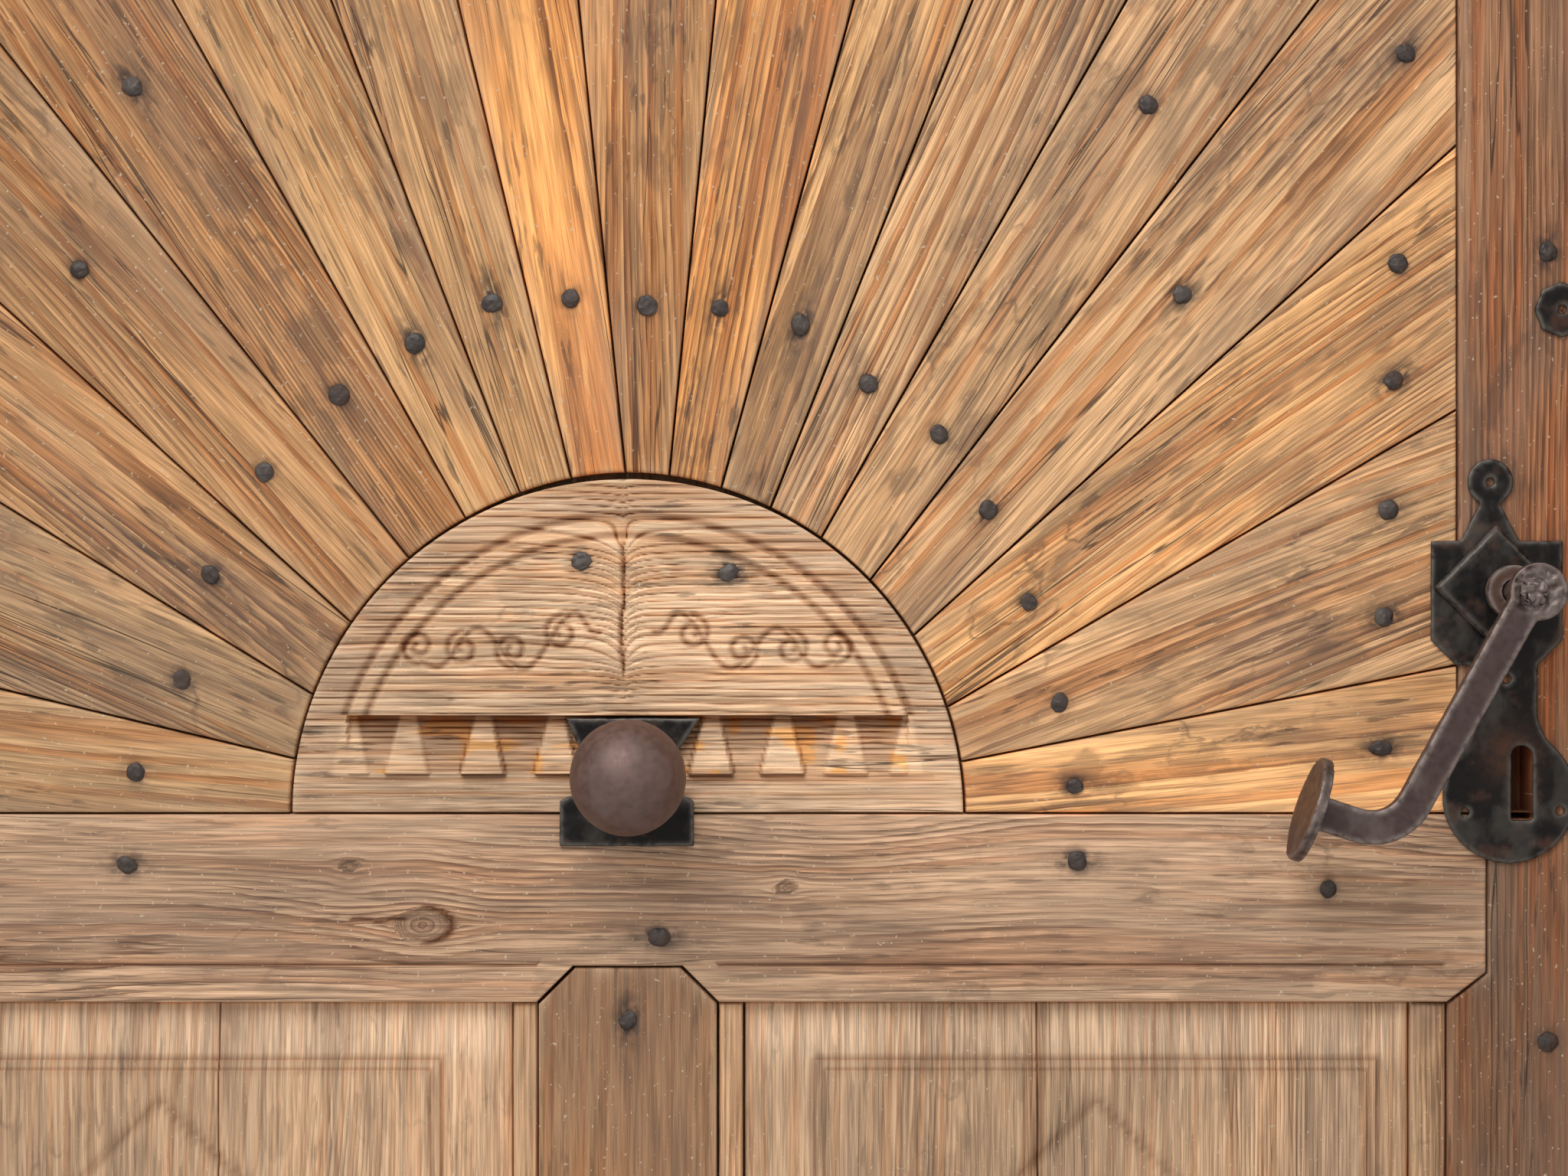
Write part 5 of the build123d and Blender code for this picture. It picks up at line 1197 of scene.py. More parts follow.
@dataclass
class LowerLeaf:
    """Mid rail, muntin, raised panels, their strips and the bottom rail."""

    site: Site
    notch_depth: float = 18.4 * MM
    muntin_half: float = 45 * MM
    rail_chamfer: tuple[float, float] = (20 * MM, 15 * MM)
    strip_drop: float = 4 * MM
    panel_edge_drop: float = 9 * MM
    panel_bevel_rise: float = 3 * MM
    panel_field_drop: float = 3 * MM
    step_width: float = 5 * MM
    inner_border: float = 36 * MM
    outer_border: float = 17 * MM
    end_border: float = 29 * MM
    lozenge_inset: float = 12 * MM
    lozenge_depth: float = 2.2 * MM
    scribe_rise: float = 19 * MM
    split_share: float = 0.44
    pale_lit_head: float = 20 * MM
    rail_knots: tuple[Knot, ...] = (
        Knot(9 * MM, -104 * MM, 8 * MM), Knot(-21 * MM, -141 * MM, 2.5 * MM),
        Knot(-10 * MM, 80 * MM, 3 * MM))

    def rail_foot(self, x: np.ndarray) -> np.ndarray:
        """Lower edge of the mid rail, with its notch and chamfered ends."""
        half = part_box("mid_rail")[1].x
        low, gap = self.site.rail_bottom_z, self.site.gap
        chamfer_x, chamfer_z = self.rail_chamfer
        notch = self.muntin_half + gap
        places = [0, self.muntin_half - self.notch_depth + gap, notch, half - chamfer_x, half]
        heights = [low + self.notch_depth, low + self.notch_depth, low, low, low + chamfer_z]
        return np.interp(np.abs(x), places, heights)

    def mid_rail(self) -> None:
        """The broad rail under the sun, with a knot and curved grain."""
        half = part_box("mid_rail")[1].x
        gap = self.site.gap
        chamfer = half - self.rail_chamfer[0]
        turns = [self.muntin_half - self.notch_depth + gap, self.muntin_half + gap, chamfer]
        marks = tuple(side * turn for side in (-1, 1) for turn in turns)
        columns = graded(-half, half, 2.4 * MM, marks)[:, None]
        height = self.site.base_z - self.site.rail_bottom_z
        scribe = self.scribe_rise
        rows = (scribe - 1 * MM, scribe, scribe + 1 * MM)
        shares = shares_of(height, 1.6 * MM, rows)[None, :]
        foot = self.rail_foot(columns)
        z = foot + (self.site.base_z - foot) * shares
        x = columns + np.zeros_like(z)
        grain = Grain(spacing=3.4 * MM, pith_across=0.022, pith_depth=0.012, lean=0.035, wander=13 * MM,
                      seed=61, knots=self.rail_knots)
        # The scribe, the knot's rim and a split beside it are cut as shallow grooves and darkened with
        # painted shade; the knot's rim is painted darker on its right side.
        line = bell(z - self.site.rail_bottom_z - scribe, 0.9 * MM) * (np.abs(x) > self.muntin_half)
        line = line * (np.abs(x) < chamfer)
        largest = self.rail_knots[0]
        eye_x, eye_z = x.mean() + largest.along, z.mean() - largest.across
        apart = np.hypot((x - eye_x) * 0.6, z - eye_z) / largest.radius
        knot_rim_shade = bell(apart - 1.0 - 0.12 * np.sign(x - eye_x), 0.16)
        knot_rim_shade = knot_rim_shade * (0.55 + 0.45 * np.tanh((x - eye_x) / (4 * MM)))
        split_line = eye_z + 2.2 * MM + 1.2 * MM * value_noise(x / (9 * MM), x * 0 + 0.5, 8)
        split = bell(z - split_line, 0.8 * MM) * (x < eye_x - 8 * MM) * (x > eye_x - 36 * MM)
        line = np.clip(line + 1.4 * knot_rim_shade + 1.4 * split, 0, 1.6)
        Board("mid_rail_board", Finish.rail_boards, x, z, 0.0, grain, height=-0.7 * MM * line,
              painted_shade=np.clip(line, 0, 1)).fit("mid_rail")

    def muntin(self) -> None:
        """The upright between the panels."""
        half, gap = self.muntin_half, self.site.gap
        top = self.site.rail_bottom_z + self.notch_depth - gap
        shoulder = half - self.notch_depth
        columns = graded(-half, half, 3.4 * MM, (-shoulder, shoulder))
        head = np.interp(np.abs(columns), [0, shoulder, half], [top, top, top - self.notch_depth])
        low = self.site.bottom_rail_z + gap
        shares = shares_of(top - low, 5 * MM)[None, :]
        z = low + (head[:, None] - low) * shares
        x = columns[:, None] + np.zeros_like(z)
        grain = Grain(spacing=3.0 * MM, pith_across=-0.06, pith_depth=0.02, lean=0.01, seed=62)
        Board("muntin_board", Finish.panel_boards, x, z, UPRIGHT, grain, (0.74, 0.61, 0.5)).fit("muntin")

    def bottom_rail(self) -> None:
        """The rail at the leaf's foot."""
        half = self.site.panel_half
        grid = np.meshgrid(graded(-half, half, 5 * MM),
                           graded(self.site.leaf_bottom_z, self.site.bottom_rail_z, 4.5 * MM), indexing="ij")
        grain = Grain(spacing=3.6 * MM, pith_across=-0.03, pith_depth=0.02, lean=-0.02, wander=9 * MM,
                      seed=63, knots=(Knot(20 * MM, 210 * MM, 8 * MM),))
        tint = (0.86, 0.84, 0.82)
        Board("bottom_rail_board", Finish.rail_boards, *grid, 0.0, grain, tint).fit("bottom_rail")

    def strips(self) -> None:
        """The narrow battens beside the panels, joined into one piece."""
        pieces = []
        for number, solid in enumerate(loose_solids("panel_strips")):
            low, high = solid.min(0), solid.max(0)
            grid = np.meshgrid(graded(low[0], high[0], 2.4 * MM), graded(low[2], high[2], 6 * MM),
                               indexing="ij")
            grain = Grain(spacing=2.6 * MM, pith_across=0.05, pith_depth=0.02, seed=70 + number)
            board = Board(f"strip_{number}", Finish.panel_boards, *grid, UPRIGHT, grain, (0.9, 0.86, 0.8),
                          front_y=self.site.face_y + self.strip_drop)
            pieces.append(board.build())
        settle(join(pieces, "panel_strip_boards"), "leaf", "panel_boards", "panel_strips")

    def panel_relief(self, aside: np.ndarray, side: np.ndarray, low: np.ndarray, high: np.ndarray,
                     width: float) -> tuple[np.ndarray, np.ndarray]:
        """Height and shade of a raised panel.

        Args:
            aside: Distance to the panel's inner edge.
            side: Distance to its outer edge.
            low: Distance to its foot.
            high: Distance to its head.
            width: The panel's width.

        Returns:
            Height in front of the panel's edge, and a shade from 0 to 1.
        """
        ends = self.end_border
        ways = ((aside, self.inner_border), (side, self.outer_border), (low, ends), (high, ends))
        share = np.minimum.reduce([way / border for way, border in ways])
        bevel = self.panel_bevel_rise * np.clip(share, 0, 1)
        inside = np.minimum.reduce([way - border for way, border in ways])
        full = self.panel_edge_drop - self.panel_field_drop - self.panel_bevel_rise
        step = full / 2
        first = smooth_step(-0.35 * MM, 0.35 * MM, inside)
        second = smooth_step(-0.35 * MM, 0.35 * MM, inside - self.step_width)
        height = bevel + step * first + step * second
        shade = 0.6 * bell(inside + 0.9 * MM, 1.2 * MM)
        shade = shade + 0.5 * bell(inside - self.step_width + 0.9 * MM, 1.2 * MM)
        edge = self.step_width + self.lozenge_inset
        left = aside - self.inner_border - edge
        right = side - self.outer_border - edge
        half = (width - self.inner_border - self.outer_border) / 2 - edge
        centre = np.abs(left - half)
        foot = (low - self.end_border - edge - centre) / math.sqrt(2)
        head = (high - self.end_border - edge - centre) / math.sqrt(2)
        ring = np.minimum.reduce([left, right, foot, head])
        groove = bell(ring - 2 * MM, 2.4 * MM)
        return height - self.lozenge_depth * groove, shade + 0.45 * groove

    def panel(self, name: str, side: int, seed: int) -> None:
        """One raised and fielded panel.

        Args:
            name: The CAD node's name.
            side: 1 for the right panel, -1 for the left one.
            seed: Chooses its grain.
        """
        low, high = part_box(name)
        inner, outer = sorted((low.x, high.x), key=abs)
        width, length = abs(outer - inner), high.z - low.z
        steps = (-0.4 * MM, 0.4 * MM)
        sides = (self.inner_border, self.inner_border + self.step_width,
                 width - self.outer_border, width - self.outer_border - self.step_width)
        across_marks = [edge + shift for edge in sides for shift in steps]
        split_at = self.split_share * width
        across_marks += [split_at - 0.6 * MM, split_at, split_at + 0.6 * MM]
        ends = (self.end_border, self.end_border + self.step_width)
        along_marks = [edge + shift for edge in (*ends, *(length - end for end in ends)) for shift in steps]
        aside, rise = np.meshgrid(graded(0, width, 3.6 * MM, tuple(across_marks)),
                                  graded(0, length, 3.9 * MM, tuple(along_marks)), indexing="ij")
        height, shade = self.panel_relief(aside, width - aside, rise, length - rise, width)
        split = bell(aside - split_at, 0.5 * MM) * smooth_step(0.36, 0.24, length - rise)
        height = height - 1.4 * MM * split
        shade = np.clip(shade + 0.9 * split, 0, 1)
        # Paler, greyer band over the head border's bevel: partly painted light falling on it from above,
        # partly grey weathered colour.
        pale = bell(np.maximum(length - rise - self.pale_lit_head, 0), 10 * MM)
        tint = 1 + pale[..., None] * np.array([0.2, 0.27, 0.36])
        grain = Grain(spacing=2.3 * MM, pith_across=-0.035, pith_depth=0.012, lean=0.02, wander=9 * MM,
                      seed=seed)
        Board(f"{name}_board", Finish.panel_boards, inner + side * aside, low.z + rise, UPRIGHT, grain, tint,
              height=height, painted_shade=shade, front_y=self.site.face_y + self.panel_edge_drop).fit(name)

    def build(self) -> None:
        """Make every board below the sun."""
        self.mid_rail()
        self.muntin()
        self.bottom_rail()
        self.strips()
        self.panel("panel_right", 1, 64)
        self.panel("panel_left", -1, 65)


@dataclass
class LeafFrame:
    """Stiles, curved head boards and the inner layer of planks."""

    site: Site
    keyhole_low: Vector = field(default_factory=lambda: Vector((446.9, 0, 957.7)) * MM)
    keyhole_high: Vector = field(default_factory=lambda: Vector((457.9, 0, 994.9)) * MM)
    keyhole_depth: float = 24 * MM
    housing_rise: float = 14.5 * MM
    warm_rise: float = 0.16
    warm_reach: float = 0.14

    def stile(self, name: str, side: int) -> None:
        """One stile, housed for the mid rail's end.

        Args:
            name: The CAD node's name.
            side: 1 for the right stile, -1 for the left one.
        """
        gap, site = self.site.gap, self.site
        low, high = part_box(name)
        rail_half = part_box("mid_rail")[1].x + gap
        corner = site.rail_bottom_z + self.housing_rise
        break_z = site.base_z + gap
        tiny = 0.02 * MM
        heights = [low.z, site.rail_bottom_z - gap, corner, break_z - tiny, break_z + tiny, high.z]
        edges = np.repeat([site.panel_half + gap, rail_half, site.sun_half], 2)
        pit_rows = tuple(np.arange(self.keyhole_low.z - 2 * MM, self.keyhole_high.z + 2 * MM, 1 * MM))
        rows = graded(low.z, high.z, 5 * MM, (*heights[1:-1], *(pit_rows if side > 0 else ())))
        inner = np.interp(rows, heights, edges)[None, :]
        pit_columns = tuple(np.arange(self.keyhole_low.x - 2 * MM, self.keyhole_high.x + 2 * MM, 1 * MM))
        spread = graded(site.sun_half, site.leaf_half, 4 * MM, pit_columns if side > 0 else ())
        shares = ((spread - site.sun_half) / (site.leaf_half - site.sun_half))[:, None]
        x = inner + (site.leaf_half - inner) * shares
        near_hole = (rows > self.keyhole_low.z - 30 * MM) & (rows < self.keyhole_high.z + 30 * MM)
        x[:, near_hole & (rows > break_z)] = spread[:, None]
        z = rows[None, :] + 0 * x
        height: np.ndarray | float = 0.0
        painted_shade: np.ndarray | float = 0.0
        if side > 0:
            middle = (self.keyhole_low.x + self.keyhole_high.x) / 2
            half = (self.keyhole_high.x - self.keyhole_low.x) / 2
            hole = ((np.abs(x - middle) < half) & (z > self.keyhole_low.z) & (z < self.keyhole_high.z))
            # Painted shade inside the keyhole's pit.
            height, painted_shade = -self.keyhole_depth * hole, 0.7 * hole
        grain = Grain(spacing=3.1 * MM, pith_across=0.09, pith_depth=0.02, lean=0.006, wander=4 * MM,
                      seed=80 + side, knots=(Knot(10 * MM, -150 * MM, 5 * MM),))
        warmth = bell(z - site.base_z - self.warm_rise, self.warm_reach) * (side > 0)
        tint = 1 + warmth[..., None] * np.array([0.3, 0.08, -0.08])
        tint = tint * (0.88 + 0.12 * smooth_step(-0.06, 0.04, z - site.base_z))[..., None]
        Board(f"{name}_board", Finish.stile_boards, side * x, z, UPRIGHT, grain, tint, height=height,
              painted_shade=painted_shade).fit(name)

    def arch(self, name: str, side: int) -> None:
        """One curved board of the leaf's head, cut from a straight plank."""
        site = self.site
        inner, outer = site.sun_half, site.leaf_half
        start = math.asin(site.gap / 2 / outer)
        length = (math.pi / 2 - start) * outer
        turns = shares_of(length, 6 * MM)[None, :] * (math.pi / 2 - start)
        radii = graded(inner, outer, 4.5 * MM)[:, None]
        x, z = side * radii * np.cos(turns), site.springing_z + radii * np.sin(turns)
        grain = Grain(spacing=3.6 * MM, pith_across=0.16, pith_depth=0.02, wander=6 * MM, seed=84 + side)
        heading = math.radians(90 + side * 45)
        Board(f"{name}_board", Finish.stile_boards, x, z, heading, grain, (1.08, 1.06, 1.04)).fit(name)

    def plank(self, number: int) -> None:
        """One plank of the inner layer, which shows from the inside."""
        low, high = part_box(f"back_plank_{number}")
        columns = graded(low.x, high.x, 5 * MM)[:, None]
        reach = np.sqrt(np.maximum(self.site.leaf_half**2 - columns**2, 0))
        top = self.site.springing_z + np.minimum(reach, high.z - self.site.springing_z)
        shares = shares_of(high.z - low.z, 9 * MM)[None, :]
        z = low.z + (top - low.z) * shares
        knots = (Knot(30 * MM, 350 * MM - number * 260 * MM, 9 * MM),
                 Knot(-80 * MM, -500 * MM + number * 320 * MM, 7 * MM))
        grain = Grain(spacing=4.2 * MM, pith_across=(-0.1, 0.02, 0.08)[number - 1], pith_depth=0.016,
                      lean=0.012, wander=12 * MM, seed=90 + number, knots=knots)
        tint = tuple(1.0 - share * number for share in (0.05, 0.05, 0.06))
        Board(f"inner_plank_{number}", Finish.plank_boards, columns + 0 * z, z, UPRIGHT, grain, tint,
              rim_radius=1.8 * MM, undulation=0.5 * MM, faces_inside=True,
              front_y=self.site.back_y).fit(f"back_plank_{number}")

    def build(self) -> None:
        """Make the stiles, the head boards and the planks."""
        for side, word in ((1, "right"), (-1, "left")):
            self.stile(f"stile_{word}", side)
            self.arch(f"leaf_arch_{word}", side)
        for number in (1, 2, 3):
            self.plank(number)


def join(pieces: list[bpy.types.Object], name: str) -> bpy.types.Object:
    """Join several meshes into one piece.

    Args:
        pieces: Objects to join; the first one keeps the result.
        name: Name of the joined piece.

    Returns:
        The joined piece.
    """
    with bpy.context.temp_override(active_object=pieces[0], selected_editable_objects=pieces):
        bpy.ops.object.join()
    pieces[0].name = name
    pieces[0].data.name = name
    return pieces[0]


# Timbers of the frame


def dress_timber(piece: bpy.types.Object, finish: Finish, places: np.ndarray, ring: np.ndarray,
                 seed: int) -> None:
    """Give a timber's mesh the grain attributes that its finish reads.

    Args:
        piece: The timber.
        finish: Its finish.
        places: Across, along and deep coordinate of each vertex.
        ring: Ring count of each vertex.
        seed: Shifts the pattern.
    """
    marks, tints = np.zeros((len(ring), 4)), np.ones((len(ring), 4))
    paint(piece.data, ring=ring, grain=places + seed * 0.731, marks=marks, tint=tints)
    clothe(piece.data, finish.name, 45)


LEAST_TURN = 30.0


def copied_solid(node: str, bevel: float) -> bmesh.types.BMesh:
    """Copy a CAD node, merged, cleaned and with its edges eased.

    Args:
        node: The CAD node.
        bevel: Width of the eased edges, of which those that turn by LEAST_TURN degrees or less stay.

    Returns:
        The copy, to be freed by the caller.
    """
    solid = bmesh.new()
    solid.from_mesh(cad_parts[node].data)
    bmesh.ops.remove_doubles(solid, verts=solid.verts, dist=0.01 * MM)
    bmesh.ops.dissolve_limit(solid, angle_limit=math.radians(1), verts=solid.verts, edges=solid.edges)
    sharp = [edge for edge in solid.edges if len(edge.link_faces) == 2
             and math.degrees(edge.calc_face_angle(0)) > LEAST_TURN and edge.calc_length() > 2.2 * bevel]
    if bevel and sharp:
        bmesh.ops.bevel(solid, geom=sharp, offset=bevel, segments=2, profile=0.5, affect="EDGES",
                        clamp_overlap=True)
    return solid


def finished(name: str, solid: bmesh.types.BMesh) -> bpy.types.Object:
    """Turn a bmesh into an object in the scene."""
    mesh = bpy.data.meshes.new(name)
    solid.to_mesh(mesh)
    solid.free()
    return placed(name, mesh)


def vectors_of(items: bpy.types.bpy_prop_collection, key: str) -> np.ndarray:
    """One vector of each item, by the name of its field."""
    flat = np.zeros(len(items) * 3, np.float32)
    items.foreach_get(key, flat)
    return flat.reshape(-1, 3).astype(float)


def vertex_places(mesh: bpy.types.Mesh) -> np.ndarray:
    """Places of a mesh's vertices."""
    return vectors_of(mesh.vertices, "co")


def vertex_normals(mesh: bpy.types.Mesh) -> np.ndarray:
    """Normals of a mesh's vertices."""
    return vectors_of(mesh.vertex_normals, "vector")


def move_to(mesh: bpy.types.Mesh, places: np.ndarray) -> None:
    """Set the places of a mesh's vertices."""
    mesh.vertices.foreach_set("co", np.ascontiguousarray(places, np.float32).ravel())
    mesh.update()


@dataclass
class DoorFrame:
    """Threshold, jambs, arched head and their pegs."""

    site: Site
    slice_step: float = 24 * MM
    face_step: float = 13 * MM
    edge_ease: float = 1.8 * MM
    wear: float = 0.5 * MM
    tread_wear: float = 2.2 * MM
    tread_half: float = 0.25
    ring_spacing: float = 3.6 * MM

    @staticmethod
    def cut(solid: bmesh.types.BMesh, point: Vector, normal: Vector) -> None:
        """Cut a solid's faces along a plane."""
        geometry = solid.verts[:] + solid.edges[:] + solid.faces[:]
        bmesh.ops.bisect_plane(solid, geom=geometry, plane_co=point, plane_no=normal, dist=0.005 * MM)

    def slice(self, solid: bmesh.types.BMesh, low: float, high: float, step: float, axis: int) -> None:
        """Cut a solid's faces into strips across one axis."""
        normal = Vector(np.eye(3)[axis])
        for place in np.arange(low + step, high - step / 2, step):
            self.cut(solid, normal * float(place), normal)

    def fan(self, solid: bmesh.types.BMesh) -> None:
        """Cut the head's faces into wedges about the arch's centre."""
        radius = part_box("jamb_right")[1].x
        count = int(radius * math.pi / self.slice_step)
        for turn in np.linspace(0, math.pi, count + 1)[1:-1]:
            centre = Vector((0, 0, self.site.springing_z))
            self.cut(solid, centre, Vector((-math.sin(turn), 0, math.cos(turn))))

    def timber(self, node: str, name: str, axis: int, seed: int, curved: bool = False) -> None:
        """One weathered timber in the place of its CAD node.

        Args:
            node: The CAD node.
            name: Name of the new piece.
            axis: Number of the axis that the grain follows.
            seed: Chooses the grain.
            curved: Whether the timber is a segment of the head.
        """
        low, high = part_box(node)
        solid = copied_solid(node, self.edge_ease)
        if curved:
            self.fan(solid)
        else:
            self.slice(solid, low[axis], high[axis], self.slice_step, axis)
        across = 2 if axis == 0 else 0
        if not curved:
            self.slice(solid, low[across], high[across], self.face_step, across)
        self.slice(solid, low.y, high.y, self.face_step, 1)
        bmesh.ops.triangulate(solid, faces=[face for face in solid.faces if len(face.verts) > 4])
        piece = finished(name, solid)
        places = vertex_places(piece.data)
        if curved:
            away = places[:, 2] - self.site.springing_z
            radius = np.hypot(places[:, 0], away)
            aside, along = radius, np.arctan2(away, places[:, 0]) * radius.mean()
        else:
            aside, along = places[:, across], places[:, axis]
        aside = aside - aside.mean()
        deep = places[:, 1] - places[:, 1].mean()
        wander = 6 * MM * value_noise(along / 0.35, aside / 0.1, seed)
        ring = np.hypot(aside + 0.1 + wander, deep + 0.06) / self.ring_spacing
        worn = self.wear * (value_noise(along / 0.07, (aside + deep) / 0.03, seed + 1) - 1) * 0.5
        if node == "threshold":
            tread = bell(places[:, 0], self.tread_half) * (places[:, 2] > low.z + 20 * MM)
            uneven = 0.7 + 0.3 * value_noise(along / 0.09, deep / 0.05, seed + 2)
            worn = worn - self.tread_wear * tread * uneven
        standing = places[:, 2] < low.z + 1 * MM
        worn = np.where(standing, 0, worn)
        move_to(piece.data, places + vertex_normals(piece.data) * worn[:, None])
        dress_timber(piece, Finish.frame_timber, np.stack([aside, along, deep], -1), ring, seed)
        settle(piece, "frame", "frame_timber", node)

    def pegs(self) -> None:
        """Cleft pegs whose cut ends show their rings."""
        piece = finished("frame_peg_ends", copied_solid("frame_pegs", 0.8 * MM))
        places = vertex_places(piece.data)
        centres = np.array([solid.mean(0)[[0, 2]] for solid in loose_solids("frame_pegs")])
        away = places[:, None, [0, 2]] - centres[None]
        distance = np.hypot(away[..., 0], away[..., 1]).min(1)
        dress_timber(piece, Finish.peg_wood, places, distance / (1.4 * MM), 7)
        settle(piece, "frame", "peg_wood", "frame_pegs")

    def build(self) -> None:
        """Make the frame's timbers."""
        self.timber("threshold", "threshold_sill", 0, 31)
        self.timber("jamb_left", "jamb_post_left", 2, 32)
        self.timber("jamb_right", "jamb_post_right", 2, 33)
        self.timber("head_left", "head_segment_left", 2, 34, curved=True)
        self.timber("head_right", "head_segment_right", 2, 35, curved=True)
        self.pegs()


# Ironwork


@dataclass
class Smithy:
    """Forged pieces: CAD solids re-cut finely, with soft edges and hammer marks."""

    smoothing: int = 3
    spring_share: float = 0.27
    eye_radius: float = 15 * MM
    keyhole_rust: tuple[float, float, float] = (0.446, 0.991, 0.012)
    collar_rust_radius: float = 0.05

    @staticmethod
    def neighbour_mean(places: np.ndarray, edges: np.ndarray) -> np.ndarray:
        """Mean place of each vertex's neighbours."""
        total, count = np.zeros_like(places), np.zeros(len(places))
        for a, b in ((0, 1), (1, 0)):
            np.add.at(total, edges[:, a], places[edges[:, b]])
            np.add.at(count, edges[:, a], 1)
        return total / np.maximum(count, 1)[:, None]

    def forge(self, node: str, name: str, finish: Finish, body: str, voxel: float, dent: float = 0.25 * MM,
              lump: tuple[float, float, float, float] | None = None,
              rusty: tuple[float, float, float] | None = None) -> None:
        """Re-cut one CAD node as a forged piece.

        Args:
            node: The CAD node.
            name: Name of the new piece.
            finish: Its finish.
            body: The body that carries it.
            voxel: Size of the new mesh's cells.
            dent: Depth of the hammer marks.
            lump: X, Y and Z of a rough, bright spot and its radius.
            rusty: X and Z of a rusted spot and its radius.
        """
        piece = finished(name, copied_solid(node, 0.0))
        modifier = piece.modifiers.new("cells", "REMESH")
        modifier.mode, modifier.voxel_size = "VOXEL", voxel
        mesh = plain_mesh(piece)
        edges = np.zeros(len(mesh.edges) * 2, np.int32)
        mesh.edges.foreach_get("vertices", edges)
        edges = edges.reshape(-1, 2)
        places = vertex_places(mesh)
        for _ in range(self.smoothing):
            places += 0.5 * (self.neighbour_mean(places, edges) - places)
        move_to(mesh, places)
        normals = vertex_normals(mesh)
        bulge = ((places - self.neighbour_mean(places, edges)) * normals).sum(1)
        for _ in range(3):
            bulge = 0.5 * bulge + 0.5 * self.neighbour_mean(bulge[:, None], edges)[:, 0]
        worn = np.clip(bulge / (0.035 * voxel / (0.8 * MM) * MM), 0, 1)
        x, y, z = places.T
        marks = value_noise(x / 0.007, z / 0.007 + y / 0.01, 3)
        marks = marks + 0.5 * value_noise(x / 0.003 + y / 0.004, z / 0.003, 4)
        depth = dent * 0.5 * (marks - 1.5)
        if lump:
            away = np.sqrt((x - lump[0]) ** 2 + (y - lump[1]) ** 2 + (z - lump[2]) ** 2)
            rough = 1 - smooth_step(0.7 * lump[3], lump[3], away)
            crumple = value_noise(x / 0.0022, z / 0.0026, 8) + 0.6 * value_noise(x / 0.0012, z / 0.0014, 9)
            crack = bell(value_noise(x / 0.006 + 3.1, z / 0.005, 12), 0.16) * rough
            depth = depth + rough * 0.9 * MM * (crumple - 0.9) - 1.5 * MM * crack
            worn = np.maximum(worn, rough * np.clip(0.85 + 0.5 * crumple, 0, 1.0)) * (1 - 0.9 * crack)
        move_to(mesh, places + normals * depth[:, None])
        spot = np.zeros_like(x)
        if rusty:
            spot = np.exp(-(((x - rusty[0]) ** 2 + (z - rusty[1]) ** 2) / rusty[2] ** 2))
        paint(mesh, edge=worn, rusted=spot)
        clothe(mesh, finish.name)
        settle(piece, body, finish.name, node)

    def ease(self, node: str, name: str, finish: Finish, body: str,
             bevel: float = 0.7 * MM) -> bpy.types.Object:
        """Copy a CAD node with its sharp edges eased.

        Args:
            node: The CAD node.
            name: Name of the new piece.
            finish: Its finish.
            body: The body that carries it.
            bevel: Width of the eased edges.

        Returns:
            The new piece.
        """
        piece = finished(name, copied_solid(node, bevel))
        clothe(piece.data, finish.name, 35)
        return settle(piece, body, finish.name, node)

    def ball_knob(self) -> None:
        """Smooth ball knob on its neck and shank, turned about its axis."""
        low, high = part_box("knob")
        radius = (high.x - low.x) / 2
        centre_x, centre_z = (low.x + high.x) / 2, (low.z + high.z) / 2
        centre_y = low.y + radius
        neck, shank = 10 * MM, 6 * MM
        plate_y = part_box("knob_plate")[0].y
        start = math.asin(neck / radius)
        profile = [(radius * math.sin(turn), centre_y - radius * math.cos(turn))
                   for turn in np.linspace(0, math.pi - start, 44)]
        profile += [(neck, plate_y - 0.8 * MM), (neck - 0.3 * MM, plate_y), (shank, plate_y),
                    (shank, high.y - 0.8 * MM), (shank - 0.8 * MM, high.y), (0.0, high.y)]
        sides = 72
        solid = bmesh.new()
        rings = []
        for reach, y in profile:
            if reach < 1e-7:
                rings.append([solid.verts.new((centre_x, y, centre_z))] * sides)
                continue
            places = [(centre_x + reach * math.cos(turn), y, centre_z + reach * math.sin(turn))
                      for turn in np.linspace(0, 2 * math.pi, sides, endpoint=False)]
            rings.append([solid.verts.new(place) for place in places])
        for first, second in zip(rings, rings[1:]):
            for i in range(sides):
                j = (i + 1) % sides
                corners = list(dict.fromkeys([first[i], first[j], second[j], second[i]]))
                solid.faces.new(corners)
        bmesh.ops.recalc_face_normals(solid, faces=solid.faces)
        piece = finished("ball_knob", solid)
        places = vertex_places(piece.data)
        flaw = value_noise(places[:, 0] / 0.016, places[:, 2] / 0.016 + places[:, 1] / 0.02, 12)
        front = places[:, 1] < plate_y - 4 * MM
        move_to(piece.data, places - vertex_normals(piece.data) * (0.12 * MM * (flaw + 1) * front)[:, None])
        clothe(piece.data, "knob_iron", 50)
        settle(piece, "leaf", "knob_iron", "knob")

